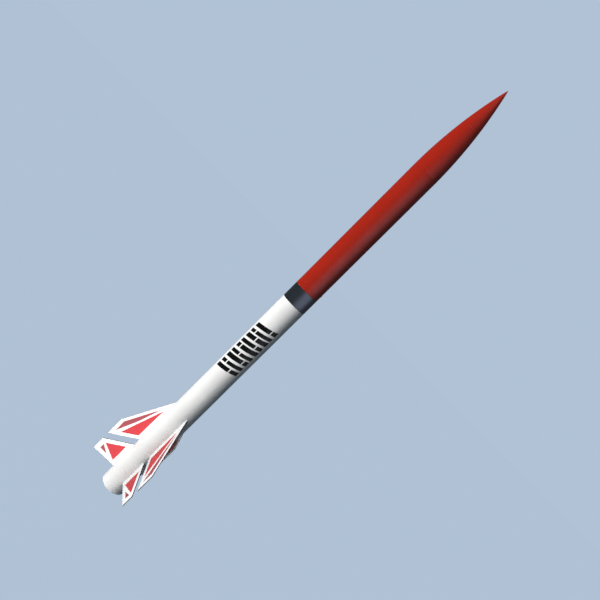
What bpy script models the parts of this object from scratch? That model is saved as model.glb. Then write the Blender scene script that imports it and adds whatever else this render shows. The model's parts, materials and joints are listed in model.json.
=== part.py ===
"""High-power model rocket with split fins, an electronics bay and an ogive nose.

Metres, +Z up. The rocket stands on the aft end of its booster tube, whose centre is the origin.
Fin 1 points along -X, the other two stand 120 degrees apart, and the rail guides sit between
fins 3 and 1. A name that ends in BOTTOM or TOP is a height above the aft end.
"""

import math

import bmesh
import bpy
from mathutils import Matrix, Vector

MM = 0.001
GAP = 0.3 * MM  # air between faces that touch on the real rocket
ROUND = 48  # sides of the airframe's round pieces
SMALL_ROUND = 32  # sides of the motor's round pieces
SHARP = math.radians(32)

# Airframe: wound fibreglass tube, four-inch class. The booster tube is two nodes, so that each
# keeps its hollow open when it is cut into convex pieces.
TUBE_OUTER = 51.1 * MM
TUBE_INNER = 49.53 * MM
FIN_SECTION_TOP = 455.0 * MM
BOOSTER_TOP = 981.0 * MM
BAND_LENGTH = 66.2 * MM
PAYLOAD_LENGTH = 582.4 * MM
NOSE_LENGTH = 406.4 * MM  # to the point of the ogive, before it is rounded off
NOSE_POINT_RADIUS = 1.8 * MM
NOSE_WALL = 1.57 * MM
NOSE_SOLID_LENGTH = 60.0 * MM  # of the point that has no hollow in it

BAND_BOTTOM = BOOSTER_TOP + GAP
BAND_TOP = BAND_BOTTOM + BAND_LENGTH
PAYLOAD_BOTTOM = BAND_TOP + GAP
PAYLOAD_TOP = PAYLOAD_BOTTOM + PAYLOAD_LENGTH
NOSE_BOTTOM = PAYLOAD_TOP + GAP

# Couplers slide inside the tubes
COUPLER_OUTER = TUBE_INNER - GAP
COUPLER_INNER = 47.7 * MM
COUPLER_REACH = 102.0 * MM  # one tube diameter
NOSE_COUPLER_GLUED = 40.0 * MM
BAY_BOTTOM = BAND_BOTTOM - COUPLER_REACH
BAY_TOP = BAND_TOP + COUPLER_REACH

# Fins: root, tip and tab heights
FIN_ANGLES = (180, 300, 60)
FIN_THICKNESS = 3.2 * MM
FIN_ROOT = TUBE_OUTER + GAP
FIN_TIP = 153.9 * MM
SLOT_DEPTH = 20.0 * MM  # of the cutter that opens the tube for a tab
FORWARD_FIN = {
    "root": (199.1 * MM, 405.9 * MM), "tip": (129.0 * MM, 205.9 * MM), "tab": (212 * MM, 388 * MM),
}
AFT_FIN = {"root": (52.0 * MM, 170.2 * MM), "tip": (48.7 * MM, 101.2 * MM), "tab": (62 * MM, 156 * MM)}

# Motor mount
MOUNT_OUTER = 28.9 * MM
MOUNT_INNER = 27.35 * MM
MOUNT_BOTTOM = 22.0 * MM
MOUNT_TOP = 470.0 * MM
RING_THICKNESS = 3.2 * MM
RING_OUTER = TUBE_INNER - GAP
RING_BORE = MOUNT_OUTER + GAP
AFT_RING_BOTTOM = 48.0 * MM
MIDDLE_RING_BOTTOM = 184.0 * MM
FORWARD_RING_BOTTOM = 446.0 * MM

# Motor retainer: a threaded collar bonded to the mount tube, and its cap
COLLAR_OUTER = 33.0 * MM
COLLAR_FLANGE = 36.5 * MM
COLLAR_LIP_BORE = 27.7 * MM
COLLAR_BOTTOM = 16.0 * MM
COLLAR_TOP = 42.0 * MM
COLLAR_FLANGE_BOTTOM = 36.0 * MM
CAP_OUTER = 37.0 * MM
CAP_MOUTH = 24.5 * MM
CAP_BOTTOM = 5.5 * MM
CAP_FLOOR = 9.7 * MM
CAP_TOP = 34.5 * MM
CAP_GRIPS = 12
CAP_GRIP_RADIUS = 5.0 * MM
CAP_GRIP_DEPTH = 1.6 * MM
CAP_GRIP_TOP = 26.5 * MM

# Motor: reloadable 54 mm case
CASE_OUTER = 27.0 * MM
CASE_INNER = 24.2 * MM
CASE_BOTTOM = 16.0 * MM
CASE_TOP = 366.0 * MM
CLOSURE_FLANGE = 29.6 * MM
CLOSURE_FLANGE_BOTTOM = 10.0 * MM
CLOSURE_INSERT = 23.9 * MM
CLOSURE_INSERT_TOP = 38.0 * MM
CLOSURE_BORE = 16.6 * MM
FORWARD_CLOSURE_TOP = 376.0 * MM
FORWARD_INSERT_BOTTOM = 344.0 * MM
LINER_OUTER = 23.8 * MM
LINER_INNER = 22.0 * MM
LINER_BOTTOM = 38.4 * MM
LINER_TOP = 343.6 * MM
NOZZLE_EXIT_BOTTOM = 8.0 * MM
NOZZLE_STEP = 38.8 * MM
NOZZLE_TOP = 60.0 * MM
NOZZLE_OUTER = 16.2 * MM
NOZZLE_SHOULDER = 21.6 * MM
NOZZLE_EXIT = 12.5 * MM
NOZZLE_THROAT = 5.0 * MM
NOZZLE_THROAT_HEIGHT = 43.0 * MM
NOZZLE_THROAT_LENGTH = 3.0 * MM
GRAIN_OUTER = 21.6 * MM
GRAIN_BORE = 7.0 * MM
GRAIN_LENGTH = 92.0 * MM
GRAIN_BOTTOM = 61.0 * MM
GRAIN_PITCH = 93.5 * MM
GRAIN_COUNT = 3

# Bulkplates, rods and their fasteners
PLATE_THICKNESS = 3.2 * MM
PLATE_STEP = COUPLER_INNER - GAP
ROD_RADIUS = 3.0 * MM
ROD_OFFSET = 33.0 * MM
ROD_OVERHANG = 16.0 * MM
NUT_ACROSS_CORNERS = 6.4 * MM
NUT_HEIGHT = 5.4 * MM
HOLE_RADIUS = 3.5 * MM
EYE_RING = 9.5 * MM
EYE_WIRE = 3.0 * MM
EYE_STANDOFF = 22.0 * MM  # from the plate's face to the eye's centre
EYE_THREAD = 13.0 * MM  # beyond the plate's other face
BOOSTER_EYE_OFFSET = (MOUNT_OUTER + TUBE_INNER) / 2  # midway between the mount tube and the booster
CUP_RADIUS = 9.0 * MM
CUP_WALL = 1.6 * MM
CUP_HEIGHT = 16.0 * MM
CUP_OFFSET = 30.0 * MM
CUP_FLOOR = 2.0 * MM

# Electronics sled
SLED_LENGTH = 236.0 * MM
SLED_HALF_WIDTH = 29.5 * MM
SLED_THICKNESS = 3.0 * MM
SLEEVE_OUTER = 5.6 * MM
BOARD_SIZE = (34 * MM, 1.6 * MM, 92 * MM)
BOARD_ABOVE_MIDDLE = 52.0 * MM
COMPONENTS = (  # width, depth, height, then the centre across and up the board
    (30 * MM, 9 * MM, 10 * MM, 0, 38 * MM),
    (9 * MM, 5 * MM, 9 * MM, -6 * MM, 8 * MM),
    (14 * MM, 4 * MM, 7 * MM, 5 * MM, -14 * MM),
    (12 * MM, 8 * MM, 12 * MM, -4 * MM, -34 * MM),
)
COMPONENT_SUNK = 0.5 * MM
BATTERY_SIZE = (26.5 * MM, 17.5 * MM, 46.0 * MM)
BATTERY_BELOW_MIDDLE = 48.0 * MM

# Arming switch, read through a hole in the black band
SWITCH_ANGLE = 120
SWITCH_HEIGHT = (BAND_BOTTOM + BAND_TOP) / 2
SWITCH_BODY = (13 * MM, 14 * MM, 14 * MM)
SWITCH_BODY_CENTRE = 37.5 * MM
SWITCH_NECK_INNER_END = 37.0 * MM
SWITCH_NECK = 5.6 * MM
SWITCH_BORE = 4.0 * MM
ROTOR_RADIUS = 3.6 * MM
ROTOR_OUTER_END = 49.6 * MM
ROTOR_INNER_END = 40.0 * MM
ROTOR_SLOT = (1.2 * MM, 12 * MM, 3 * MM)
SWITCH_HOLE = 6.2 * MM
VENT_HOLE = 1.6 * MM
VENT_ANGLES = (0, 90, 210)
WALL_CUT = (44 * MM, 56 * MM)  # where a cutter for a hole in the band, tubes and coupler starts and ends

# Rivets that hold the payload tube on the bay's coupler
RIVET_ANGLES = (0, 120, 240)
RIVET_HEIGHT = PAYLOAD_BOTTOM + 25 * MM
RIVET_SHANK = 2.2 * MM
RIVET_HEAD = 3.6 * MM
RIVET_HEAD_THICKNESS = 0.9 * MM
RIVET_INNER_END = 46.2 * MM

# Rail guides
GUIDE_ANGLE = 120
GUIDE_LENGTH = 45.0 * MM
GUIDE_BOTTOMS = {"rail_guide_aft": 60.0 * MM, "rail_guide_forward": 640.0 * MM}
GUIDE_FOOT_HALF = 7.0 * MM
GUIDE_NECK_HALF = 2.9 * MM
GUIDE_HEAD_HALF = 5.2 * MM
GUIDE_FOOT_TOP = TUBE_OUTER + 2.0 * MM
GUIDE_HEAD_BOTTOM = TUBE_OUTER + 5.4 * MM
GUIDE_FACE = TUBE_OUTER + 8.0 * MM
GUIDE_SLANT = 6.0 * MM

# Packed recovery gear: radius, bottom and top
DROGUE_CORD = (33.0 * MM, 500.0 * MM, 590.0 * MM)
DROGUE_PARACHUTE = (40.0 * MM, 593.0 * MM, 745.0 * MM)
MAIN_CORD = (35.0 * MM, 1192.0 * MM, 1278.0 * MM)
MAIN_PARACHUTE = (42.0 * MM, 1281.0 * MM, 1450.0 * MM)
BUNDLE_CORNER = 12.0 * MM
BUNDLE_CORNER_STEPS = 3


def clear_scene():
    for obj in list(bpy.data.objects):
        bpy.data.objects.remove(obj)


def paint(name, colour, roughness, metallic=0.0):
    """A Principled material of one colour."""
    made = bpy.data.materials.new(name)
    made.use_nodes = True
    shader = made.node_tree.nodes["Principled BSDF"]
    shader.inputs["Base Color"].default_value = (*colour, 1)
    shader.inputs["Roughness"].default_value = roughness
    shader.inputs["Metallic"].default_value = metallic
    made.diffuse_color = (*colour, 1)
    return made


def place(name, bm, material, angle=0.0, location=(0, 0, 0)):
    """Closes the mesh in hand into a named object, turned about Z by angle in degrees."""
    bmesh.ops.recalc_face_normals(bm, faces=bm.faces)
    mesh = bpy.data.meshes.new(name)
    bm.to_mesh(mesh)
    bm.free()
    mesh.shade_smooth()
    mesh.set_sharp_from_angle(angle=SHARP)
    mesh.materials.append(material)
    obj = bpy.data.objects.new(name, mesh)
    obj.location = location
    obj.rotation_euler.z = math.radians(angle)
    bpy.context.scene.collection.objects.link(obj)
    return obj


def spin(bm, outline, sides=ROUND):
    """Turns (radius, height) points about Z. An outline that starts and ends on the axis is solid."""
    verts = [bm.verts.new((radius, 0, height)) for radius, height in outline]
    ends_on_axis = outline[0][0] == 0
    following = verts[1:] if ends_on_axis else verts[1:] + verts[:1]
    edges = [bm.edges.new(pair) for pair in zip(verts, following)]
    bmesh.ops.spin(
        bm, geom=verts + edges, axis=(0, 0, 1), angle=math.tau, steps=sides, use_merge=True
    )
    bmesh.ops.remove_doubles(bm, verts=bm.verts, dist=1e-7)


def turned(name, outline, material, sides=ROUND):
    bm = bmesh.new()
    spin(bm, outline, sides)
    return place(name, bm, material)


def tube(name, outer, inner, bottom, top, material, sides=ROUND):
    outline = [(outer, top), (outer, bottom), (inner, bottom), (inner, top)]
    return turned(name, outline, material, sides)


def rod(bm, radius, bottom, top, sides, centre=(0, 0)):
    """Adds an upright cylinder to the mesh."""
    middle = Vector((*centre, (bottom + top) / 2))
    bmesh.ops.create_cone(
        bm, cap_ends=True, segments=sides, radius1=radius, radius2=radius,
        depth=top - bottom, matrix=Matrix.Translation(middle),
    )


def radial_rod(bm, radius, inner, outer, angle, height, sides):
    """Adds a cylinder that points away from the Z axis."""
    heading = math.radians(angle)
    middle = (inner + outer) / 2
    where = Matrix.Translation((middle * math.cos(heading), middle * math.sin(heading), height))
    facing = Matrix.Rotation(heading, 4, "Z") @ Matrix.Rotation(math.pi / 2, 4, "Y")
    bmesh.ops.create_cone(
        bm, cap_ends=True, segments=sides, radius1=radius, radius2=radius,
        depth=outer - inner, matrix=where @ facing,
    )


def block(bm, size, centre, angle=0.0):
    """Adds a box, placed first and then turned about Z by angle in degrees."""
    turn = Matrix.Rotation(math.radians(angle), 4, "Z")
    where = turn @ Matrix.Translation(centre) @ Matrix.Diagonal((*size, 1))
    bmesh.ops.create_cube(bm, size=1, matrix=where)


def prism(bm, outline, thickness):
    """Adds a plate whose outline lies in the XZ plane, centred on that plane."""
    face = bm.faces.new([bm.verts.new((x, -thickness / 2, z)) for x, z in outline])
    made = bmesh.ops.extrude_face_region(bm, geom=[face])["geom"]
    moved = [item for item in made if isinstance(item, bmesh.types.BMVert)]
    bmesh.ops.translate(bm, vec=(0, thickness, 0), verts=moved)


def helper(name, bm):
    """A shape for a Boolean, left out of the model."""
    made = place(name, bm, MATERIALS["helper"])
    made.hide_render = True
    made.display_type = "WIRE"
    return made


def boolean(obj, other, operation):
    """Cuts or joins another shape, as a modifier that stays on the object."""
    modifier = obj.modifiers.new(operation.title(), "BOOLEAN")
    modifier.operation = operation
    modifier.object = other


def fin_slots():
    """One slot through the booster tube for each fin tab."""
    bm = bmesh.new()
    width = FIN_THICKNESS + 2 * GAP
    for fin in (FORWARD_FIN, AFT_FIN):
        low, high = fin["tab"]
        size = (SLOT_DEPTH, width, high - low + 2 * GAP)
        for angle in FIN_ANGLES:
            block(bm, size, (TUBE_OUTER, 0, (low + high) / 2), angle)
    return helper("fin_slots", bm)


def booster_tube():
    """The slotted section that carries the fins, and the plain section above it."""
    made = tube("booster_tube_aft", TUBE_OUTER, TUBE_INNER, 0, FIN_SECTION_TOP, MATERIALS["white"])
    boolean(made, fin_slots(), "DIFFERENCE")
    bottom = FIN_SECTION_TOP + GAP
    tube("booster_tube_forward", TUBE_OUTER, TUBE_INNER, bottom, BOOSTER_TOP, MATERIALS["white"])


def fins():
    """Two swept fins on each of three lines, with tabs that reach the motor mount tube."""
    tab_end = MOUNT_OUTER + GAP
    for name, fin in (("forward_fin", FORWARD_FIN), ("aft_fin", AFT_FIN)):
        root_low, root_high = fin["root"]
        tip_low, tip_high = fin["tip"]
        tab_low, tab_high = fin["tab"]
        outline = [
            (FIN_ROOT, root_low), (FIN_TIP, tip_low), (FIN_TIP, tip_high), (FIN_ROOT, root_high),
            (FIN_ROOT, tab_high), (tab_end, tab_high), (tab_end, tab_low), (FIN_ROOT, tab_low),
        ]
        for number, angle in enumerate(FIN_ANGLES, start=1):
            bm = bmesh.new()
            prism(bm, outline, FIN_THICKNESS)
            place(f"{name}_{number}", bm, MATERIALS["fin"], angle)


def motor_mount():
    fibreglass = MATERIALS["fibreglass"]
    tube("motor_mount_tube", MOUNT_OUTER, MOUNT_INNER, MOUNT_BOTTOM, MOUNT_TOP, fibreglass)
    for name, bottom in (("aft", AFT_RING_BOTTOM), ("middle", MIDDLE_RING_BOTTOM)):
        top = bottom + RING_THICKNESS
        tube(f"{name}_centering_ring", RING_OUTER, RING_BORE, bottom, top, fibreglass)
    bottom, top = FORWARD_RING_BOTTOM, FORWARD_RING_BOTTOM + RING_THICKNESS
    ring = tube("forward_centering_ring", RING_OUTER, RING_BORE, bottom, top, fibreglass)
    bm = bmesh.new()
    rod(bm, HOLE_RADIUS, bottom - MM, top + MM, 16, (BOOSTER_EYE_OFFSET, 0))
    boolean(ring, helper("forward_ring_hole", bm), "DIFFERENCE")
    eye_bolt("booster_eye_bolt", BOOSTER_EYE_OFFSET, bottom, top, True)


def motor_retainer():
    collar = [
        (COLLAR_OUTER, COLLAR_FLANGE_BOTTOM), (COLLAR_OUTER, COLLAR_BOTTOM),
        (COLLAR_LIP_BORE, COLLAR_BOTTOM), (COLLAR_LIP_BORE, MOUNT_BOTTOM - GAP),
        (RING_BORE, MOUNT_BOTTOM - GAP), (RING_BORE, COLLAR_TOP),
        (COLLAR_FLANGE, COLLAR_TOP), (COLLAR_FLANGE, COLLAR_FLANGE_BOTTOM),
    ]
    turned("motor_retainer_body", collar, MATERIALS["black_anodised"], SMALL_ROUND)
    inside = COLLAR_OUTER + GAP
    cap = [
        (CAP_OUTER, CAP_TOP), (CAP_OUTER, CAP_BOTTOM), (CAP_MOUTH, CAP_BOTTOM),
        (CAP_MOUTH, CAP_FLOOR), (inside, CAP_FLOOR), (inside, CAP_TOP),
    ]
    made = turned("motor_retainer_cap", cap, MATERIALS["black_anodised"], SMALL_ROUND)
    bm = bmesh.new()
    middle = CAP_OUTER + CAP_GRIP_RADIUS - CAP_GRIP_DEPTH
    for number in range(CAP_GRIPS):
        heading = math.tau * (number + 0.5) / CAP_GRIPS
        centre = (middle * math.cos(heading), middle * math.sin(heading))
        rod(bm, CAP_GRIP_RADIUS, CAP_BOTTOM - MM, CAP_GRIP_TOP, 16, centre)
    boolean(made, helper("cap_grips", bm), "DIFFERENCE")


def motor():
    """Case, closures, nozzle, liner and grains, all round."""
    case = MATERIALS["red_anodised"]
    tube("motor_case", CASE_OUTER, CASE_INNER, CASE_BOTTOM, CASE_TOP, case, SMALL_ROUND)
    flange_top = CASE_BOTTOM - GAP
    aft = [
        (CLOSURE_FLANGE, flange_top), (CLOSURE_FLANGE, CLOSURE_FLANGE_BOTTOM),
        (CLOSURE_BORE, CLOSURE_FLANGE_BOTTOM), (CLOSURE_BORE, CLOSURE_INSERT_TOP),
        (CLOSURE_INSERT, CLOSURE_INSERT_TOP), (CLOSURE_INSERT, flange_top),
    ]
    turned("motor_aft_closure", aft, MATERIALS["black_anodised"], SMALL_ROUND)
    forward = [
        (0, FORWARD_CLOSURE_TOP), (CASE_OUTER, FORWARD_CLOSURE_TOP), (CASE_OUTER, CASE_TOP + GAP),
        (CLOSURE_INSERT, CASE_TOP + GAP), (CLOSURE_INSERT, FORWARD_INSERT_BOTTOM),
        (0, FORWARD_INSERT_BOTTOM),
    ]
    turned("motor_forward_closure", forward, MATERIALS["black_anodised"], SMALL_ROUND)
    nozzle = [
        (NOZZLE_SHOULDER, NOZZLE_TOP), (NOZZLE_SHOULDER, NOZZLE_STEP), (NOZZLE_OUTER, NOZZLE_STEP),
        (NOZZLE_OUTER, NOZZLE_EXIT_BOTTOM), (NOZZLE_EXIT, NOZZLE_EXIT_BOTTOM),
        (NOZZLE_THROAT, NOZZLE_THROAT_HEIGHT),
        (NOZZLE_THROAT, NOZZLE_THROAT_HEIGHT + NOZZLE_THROAT_LENGTH), (NOZZLE_EXIT, NOZZLE_TOP),
    ]
    turned("motor_nozzle", nozzle, MATERIALS["graphite"], SMALL_ROUND)
    liner = MATERIALS["phenolic"]
    tube("motor_liner", LINER_OUTER, LINER_INNER, LINER_BOTTOM, LINER_TOP, liner, SMALL_ROUND)
    for number in range(GRAIN_COUNT):
        bottom = GRAIN_BOTTOM + number * GRAIN_PITCH
        top = bottom + GRAIN_LENGTH
        name = f"propellant_grain_{number + 1}"
        tube(name, GRAIN_OUTER, GRAIN_BORE, bottom, top, MATERIALS["grain"], 24)


def eye_bolt(name, x, plate_bottom, plate_top, points_up):
    """A forged eye bolt through a plate, and its hexagonal nut on the other face."""
    sign = 1 if points_up else -1
    face = plate_top if points_up else plate_bottom
    back = plate_bottom if points_up else plate_top
    eye = face + sign * EYE_STANDOFF
    shank_end = back - sign * EYE_THREAD
    ring = bmesh.new()
    circle = bmesh.ops.create_circle(ring, segments=8, radius=EYE_WIRE)["verts"]
    bmesh.ops.translate(ring, vec=(EYE_RING, 0, 0), verts=circle)
    geom = circle + list(ring.edges)
    bmesh.ops.spin(ring, geom=geom, axis=(0, 1, 0), angle=math.tau, steps=18, use_merge=True)
    bmesh.ops.rotate(ring, matrix=Matrix.Rotation(math.pi / 2, 3, "Z"), verts=ring.verts)
    bmesh.ops.translate(ring, vec=(x, 0, eye), verts=ring.verts)
    made = place(name, ring, MATERIALS["steel"])
    shank = bmesh.new()
    neck = eye - sign * EYE_RING
    rod(shank, ROD_RADIUS, min(neck, shank_end), max(neck, shank_end), 12, (x, 0))
    boolean(made, helper(f"{name}_shank", shank), "UNION")
    nut_face = back - sign * GAP
    nut(name.replace("eye_bolt", "eye_nut"), x, min(nut_face, nut_face - sign * NUT_HEIGHT))


def nut(name, x, bottom):
    bm = bmesh.new()
    outline = [
        (NUT_ACROSS_CORNERS, bottom + NUT_HEIGHT), (NUT_ACROSS_CORNERS, bottom),
        (HOLE_RADIUS + GAP, bottom), (HOLE_RADIUS + GAP, bottom + NUT_HEIGHT),
    ]
    spin(bm, outline, 6)
    place(name, bm, MATERIALS["steel"], location=(x, 0, 0))


def plate_holes(name, eye_x, rods):
    """Cutter for a bulkplate's eye bolt and rod holes."""
    bm = bmesh.new()
    for x in (eye_x, *((-ROD_OFFSET, ROD_OFFSET) if rods else ())):
        rod(bm, HOLE_RADIUS, BAY_BOTTOM - COUPLER_REACH, NOSE_BOTTOM, 16, (x, 0))
    return helper(name, bm)


def bay_plate(name, end, sign):
    """A stepped lid on one end of the bay's coupler."""
    outer_face = end + sign * (GAP + PLATE_THICKNESS)
    seat = end + sign * GAP
    inner_face = end - sign * PLATE_THICKNESS
    outline = [
        (0, outer_face), (COUPLER_OUTER, outer_face), (COUPLER_OUTER, seat),
        (PLATE_STEP, seat), (PLATE_STEP, inner_face), (0, inner_face),
    ]
    made = turned(name, outline, MATERIALS["fibreglass"])
    boolean(made, plate_holes(f"{name}_holes", 0, True), "DIFFERENCE")
    low, high = min(outer_face, inner_face), max(outer_face, inner_face)
    eye_bolt(name.replace("bulkplate", "eye_bolt"), 0, low, high, sign > 0)
    charge_cup(name.replace("bulkplate", "charge_cup"), outer_face, sign)
    return outer_face


def charge_cup(name, face, sign):
    """An open well that stands on the outside of a bulkplate."""
    base = face + sign * GAP
    mouth = base + sign * CUP_HEIGHT
    floor = base + sign * CUP_FLOOR
    inner = CUP_RADIUS - CUP_WALL
    outline = [
        (0, floor), (inner, floor), (inner, mouth), (CUP_RADIUS, mouth), (CUP_RADIUS, base), (0, base),
    ]
    bm = bmesh.new()
    spin(bm, outline, 24)
    place(name, bm, MATERIALS["aluminium"], location=(0, CUP_OFFSET, 0))


def bay_holes():
    """Cutter for the switch hole and the vents, through band and coupler."""
    bm = bmesh.new()
    radial_rod(bm, SWITCH_HOLE, *WALL_CUT, SWITCH_ANGLE, SWITCH_HEIGHT, 24)
    for angle in VENT_ANGLES:
        radial_rod(bm, VENT_HOLE, *WALL_CUT, angle, SWITCH_HEIGHT, 12)
    return helper("bay_holes", bm)


def rivet_holes():
    bm = bmesh.new()
    for angle in RIVET_ANGLES:
        radial_rod(bm, RIVET_SHANK + GAP, *WALL_CUT, angle, RIVET_HEIGHT, 16)
    return helper("rivet_holes", bm)


def electronics_bay():
    holes = bay_holes()
    riveted = rivet_holes()
    coupler = tube(
        "avbay_coupler", COUPLER_OUTER, COUPLER_INNER, BAY_BOTTOM, BAY_TOP, MATERIALS["fibreglass"]
    )
    boolean(coupler, holes, "DIFFERENCE")
    boolean(coupler, riveted, "DIFFERENCE")
    band = tube("switch_band", TUBE_OUTER, TUBE_INNER, BAND_BOTTOM, BAND_TOP, MATERIALS["black"])
    boolean(band, holes, "DIFFERENCE")
    payload = tube(
        "payload_tube", TUBE_OUTER, TUBE_INNER, PAYLOAD_BOTTOM, PAYLOAD_TOP, MATERIALS["red"]
    )
    boolean(payload, riveted, "DIFFERENCE")
    aft_face = bay_plate("avbay_aft_bulkplate", BAY_BOTTOM, -1)
    forward_face = bay_plate("avbay_forward_bulkplate", BAY_TOP, 1)
    for number, x in enumerate((-ROD_OFFSET, ROD_OFFSET), start=1):
        bm = bmesh.new()
        rod(bm, ROD_RADIUS, aft_face - ROD_OVERHANG, forward_face + ROD_OVERHANG, 16, (x, 0))
        place(f"threaded_rod_{number}", bm, MATERIALS["steel"])
        nut(f"rod_nut_aft_{number}", x, aft_face - GAP - NUT_HEIGHT)
        nut(f"rod_nut_forward_{number}", x, forward_face + GAP)
    sled()
    arming_switch()
    rivets()


def sled():
    """A board on two sleeves that slide over the rods, with the altimeter and the battery on it."""
    middle = (BAY_BOTTOM + BAY_TOP) / 2
    low, high = middle - SLED_LENGTH / 2, middle + SLED_LENGTH / 2
    bm = bmesh.new()
    block(bm, (2 * SLED_HALF_WIDTH, SLED_THICKNESS, SLED_LENGTH), (0, 0, middle))
    made = place("avionics_sled", bm, MATERIALS["sled"])
    for x in (-ROD_OFFSET, ROD_OFFSET):
        sleeve = bmesh.new()
        outline = [(SLEEVE_OUTER, high), (SLEEVE_OUTER, low), (HOLE_RADIUS, low), (HOLE_RADIUS, high)]
        spin(sleeve, outline, 16)
        bmesh.ops.translate(sleeve, vec=(x, 0, 0), verts=sleeve.verts)
        boolean(made, helper("sled_sleeve", sleeve), "UNION")
    face = -SLED_THICKNESS / 2 - GAP
    altimeter(face, middle + BOARD_ABOVE_MIDDLE)
    battery = bmesh.new()
    block(battery, BATTERY_SIZE, (0, face - BATTERY_SIZE[1] / 2, middle - BATTERY_BELOW_MIDDLE))
    place("battery", battery, MATERIALS["battery"])


def altimeter(face, middle):
    """A circuit board with its back to the sled, and its largest components."""
    thickness = BOARD_SIZE[1]
    board = bmesh.new()
    block(board, BOARD_SIZE, (0, face - thickness / 2, middle))
    made = place("altimeter", board, MATERIALS["circuit_board"])
    parts = bmesh.new()
    for width, depth, height, across, up in COMPONENTS:
        out = face - thickness - depth / 2 + COMPONENT_SUNK
        block(parts, (width, depth, height), (across, out, middle + up))
    boolean(made, helper("altimeter_components", parts), "UNION")


def arming_switch():
    """A rotary switch inside the band: a fixed body and a slotted rotor that turns a quarter turn."""
    body = bmesh.new()
    block(body, SWITCH_BODY, (SWITCH_BODY_CENTRE, 0, SWITCH_HEIGHT), SWITCH_ANGLE)
    made = place("arming_switch_body", body, MATERIALS["switch"])
    neck = bmesh.new()
    radial_rod(neck, SWITCH_NECK, SWITCH_NECK_INNER_END, COUPLER_OUTER, SWITCH_ANGLE, SWITCH_HEIGHT, 24)
    boolean(made, helper("switch_neck", neck), "UNION")
    bore = bmesh.new()
    radial_rod(bore, SWITCH_BORE, ROTOR_INNER_END - GAP, TUBE_OUTER, SWITCH_ANGLE, SWITCH_HEIGHT, 24)
    boolean(made, helper("switch_bore", bore), "DIFFERENCE")
    rotor = bmesh.new()
    bmesh.ops.create_cone(
        rotor, cap_ends=True, segments=24, radius1=ROTOR_RADIUS, radius2=ROTOR_RADIUS,
        depth=ROTOR_OUTER_END - ROTOR_INNER_END,
    )
    made = place("arming_switch_rotor", rotor, MATERIALS["brass"])
    slot = bmesh.new()
    block(slot, ROTOR_SLOT, (0, 0, (ROTOR_OUTER_END - ROTOR_INNER_END) / 2))
    cutter = helper("rotor_slot", slot)
    boolean(made, cutter, "DIFFERENCE")
    heading = math.radians(SWITCH_ANGLE)
    middle = (ROTOR_OUTER_END + ROTOR_INNER_END) / 2
    for obj in (made, cutter):
        obj.location = (middle * math.cos(heading), middle * math.sin(heading), SWITCH_HEIGHT)
        obj.rotation_euler = (0, math.pi / 2, heading)


def rivets():
    for number, angle in enumerate(RIVET_ANGLES, start=1):
        shank = bmesh.new()
        head_face = TUBE_OUTER + GAP
        head_end = head_face + RIVET_HEAD_THICKNESS
        radial_rod(shank, RIVET_SHANK, RIVET_INNER_END, head_end, angle, RIVET_HEIGHT, 16)
        made = place(f"payload_rivet_{number}", shank, MATERIALS["red"])
        head = bmesh.new()
        radial_rod(head, RIVET_HEAD, head_face, head_end, angle, RIVET_HEIGHT, 16)
        boolean(made, helper(f"rivet_head_{number}", head), "UNION")


def ogive_circle():
    """Radius of the circle whose arc is the nose's side."""
    return (TUBE_OUTER**2 + NOSE_LENGTH**2) / (2 * TUBE_OUTER)


def ogive_radius(height):
    """Outer radius of the nose at a height above its base."""
    circle = ogive_circle()
    return math.sqrt(circle**2 - height**2) + TUBE_OUTER - circle


def nose_outline():
    """Outer side down to the base, then the inside: a straight socket and the offset ogive."""
    circle = ogive_circle()
    point_centre = math.sqrt((circle - NOSE_POINT_RADIUS) ** 2 - (circle - TUBE_OUTER) ** 2)
    meeting = point_centre + NOSE_POINT_RADIUS * point_centre / (circle - NOSE_POINT_RADIUS)
    outline = [(0, NOSE_BOTTOM + point_centre + NOSE_POINT_RADIUS)]
    start = math.asin((meeting - point_centre) / NOSE_POINT_RADIUS)
    for step in (2, 1):
        angle = start + (math.pi / 2 - start) * step / 3
        radius = NOSE_POINT_RADIUS * math.cos(angle)
        outline.append((radius, NOSE_BOTTOM + point_centre + NOSE_POINT_RADIUS * math.sin(angle)))
    steps = 12
    for step in range(steps, -1, -1):
        height = meeting * step / steps
        outline.append((ogive_radius(height), NOSE_BOTTOM + height))
    outline.append((TUBE_INNER, NOSE_BOTTOM))
    socket_top = NOSE_COUPLER_GLUED + 2 * GAP
    outline.append((TUBE_INNER, NOSE_BOTTOM + socket_top))
    inside_top = NOSE_LENGTH - NOSE_SOLID_LENGTH
    inside_steps = 5
    for step in range(inside_steps + 1):
        height = socket_top + MM + (inside_top - socket_top) * step / inside_steps
        outline.append((ogive_radius(height) - NOSE_WALL, NOSE_BOTTOM + height))
    outline.append((0, NOSE_BOTTOM + inside_top + 2 * MM))
    return outline


def nose():
    turned("nose_cone", nose_outline(), MATERIALS["red"])
    bottom = NOSE_BOTTOM - COUPLER_REACH
    top = NOSE_BOTTOM + NOSE_COUPLER_GLUED
    tube("nose_coupler", COUPLER_OUTER, COUPLER_INNER, bottom, top, MATERIALS["fibreglass"])
    plate_bottom = bottom + MM
    plate_top = plate_bottom + PLATE_THICKNESS
    outline = [(0, plate_top), (PLATE_STEP, plate_top), (PLATE_STEP, plate_bottom), (0, plate_bottom)]
    plate = turned("nose_bulkplate", outline, MATERIALS["fibreglass"])
    boolean(plate, plate_holes("nose_bulkplate_hole", 0, False), "DIFFERENCE")
    eye_bolt("nose_eye_bolt", 0, plate_bottom, plate_top, False)


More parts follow.
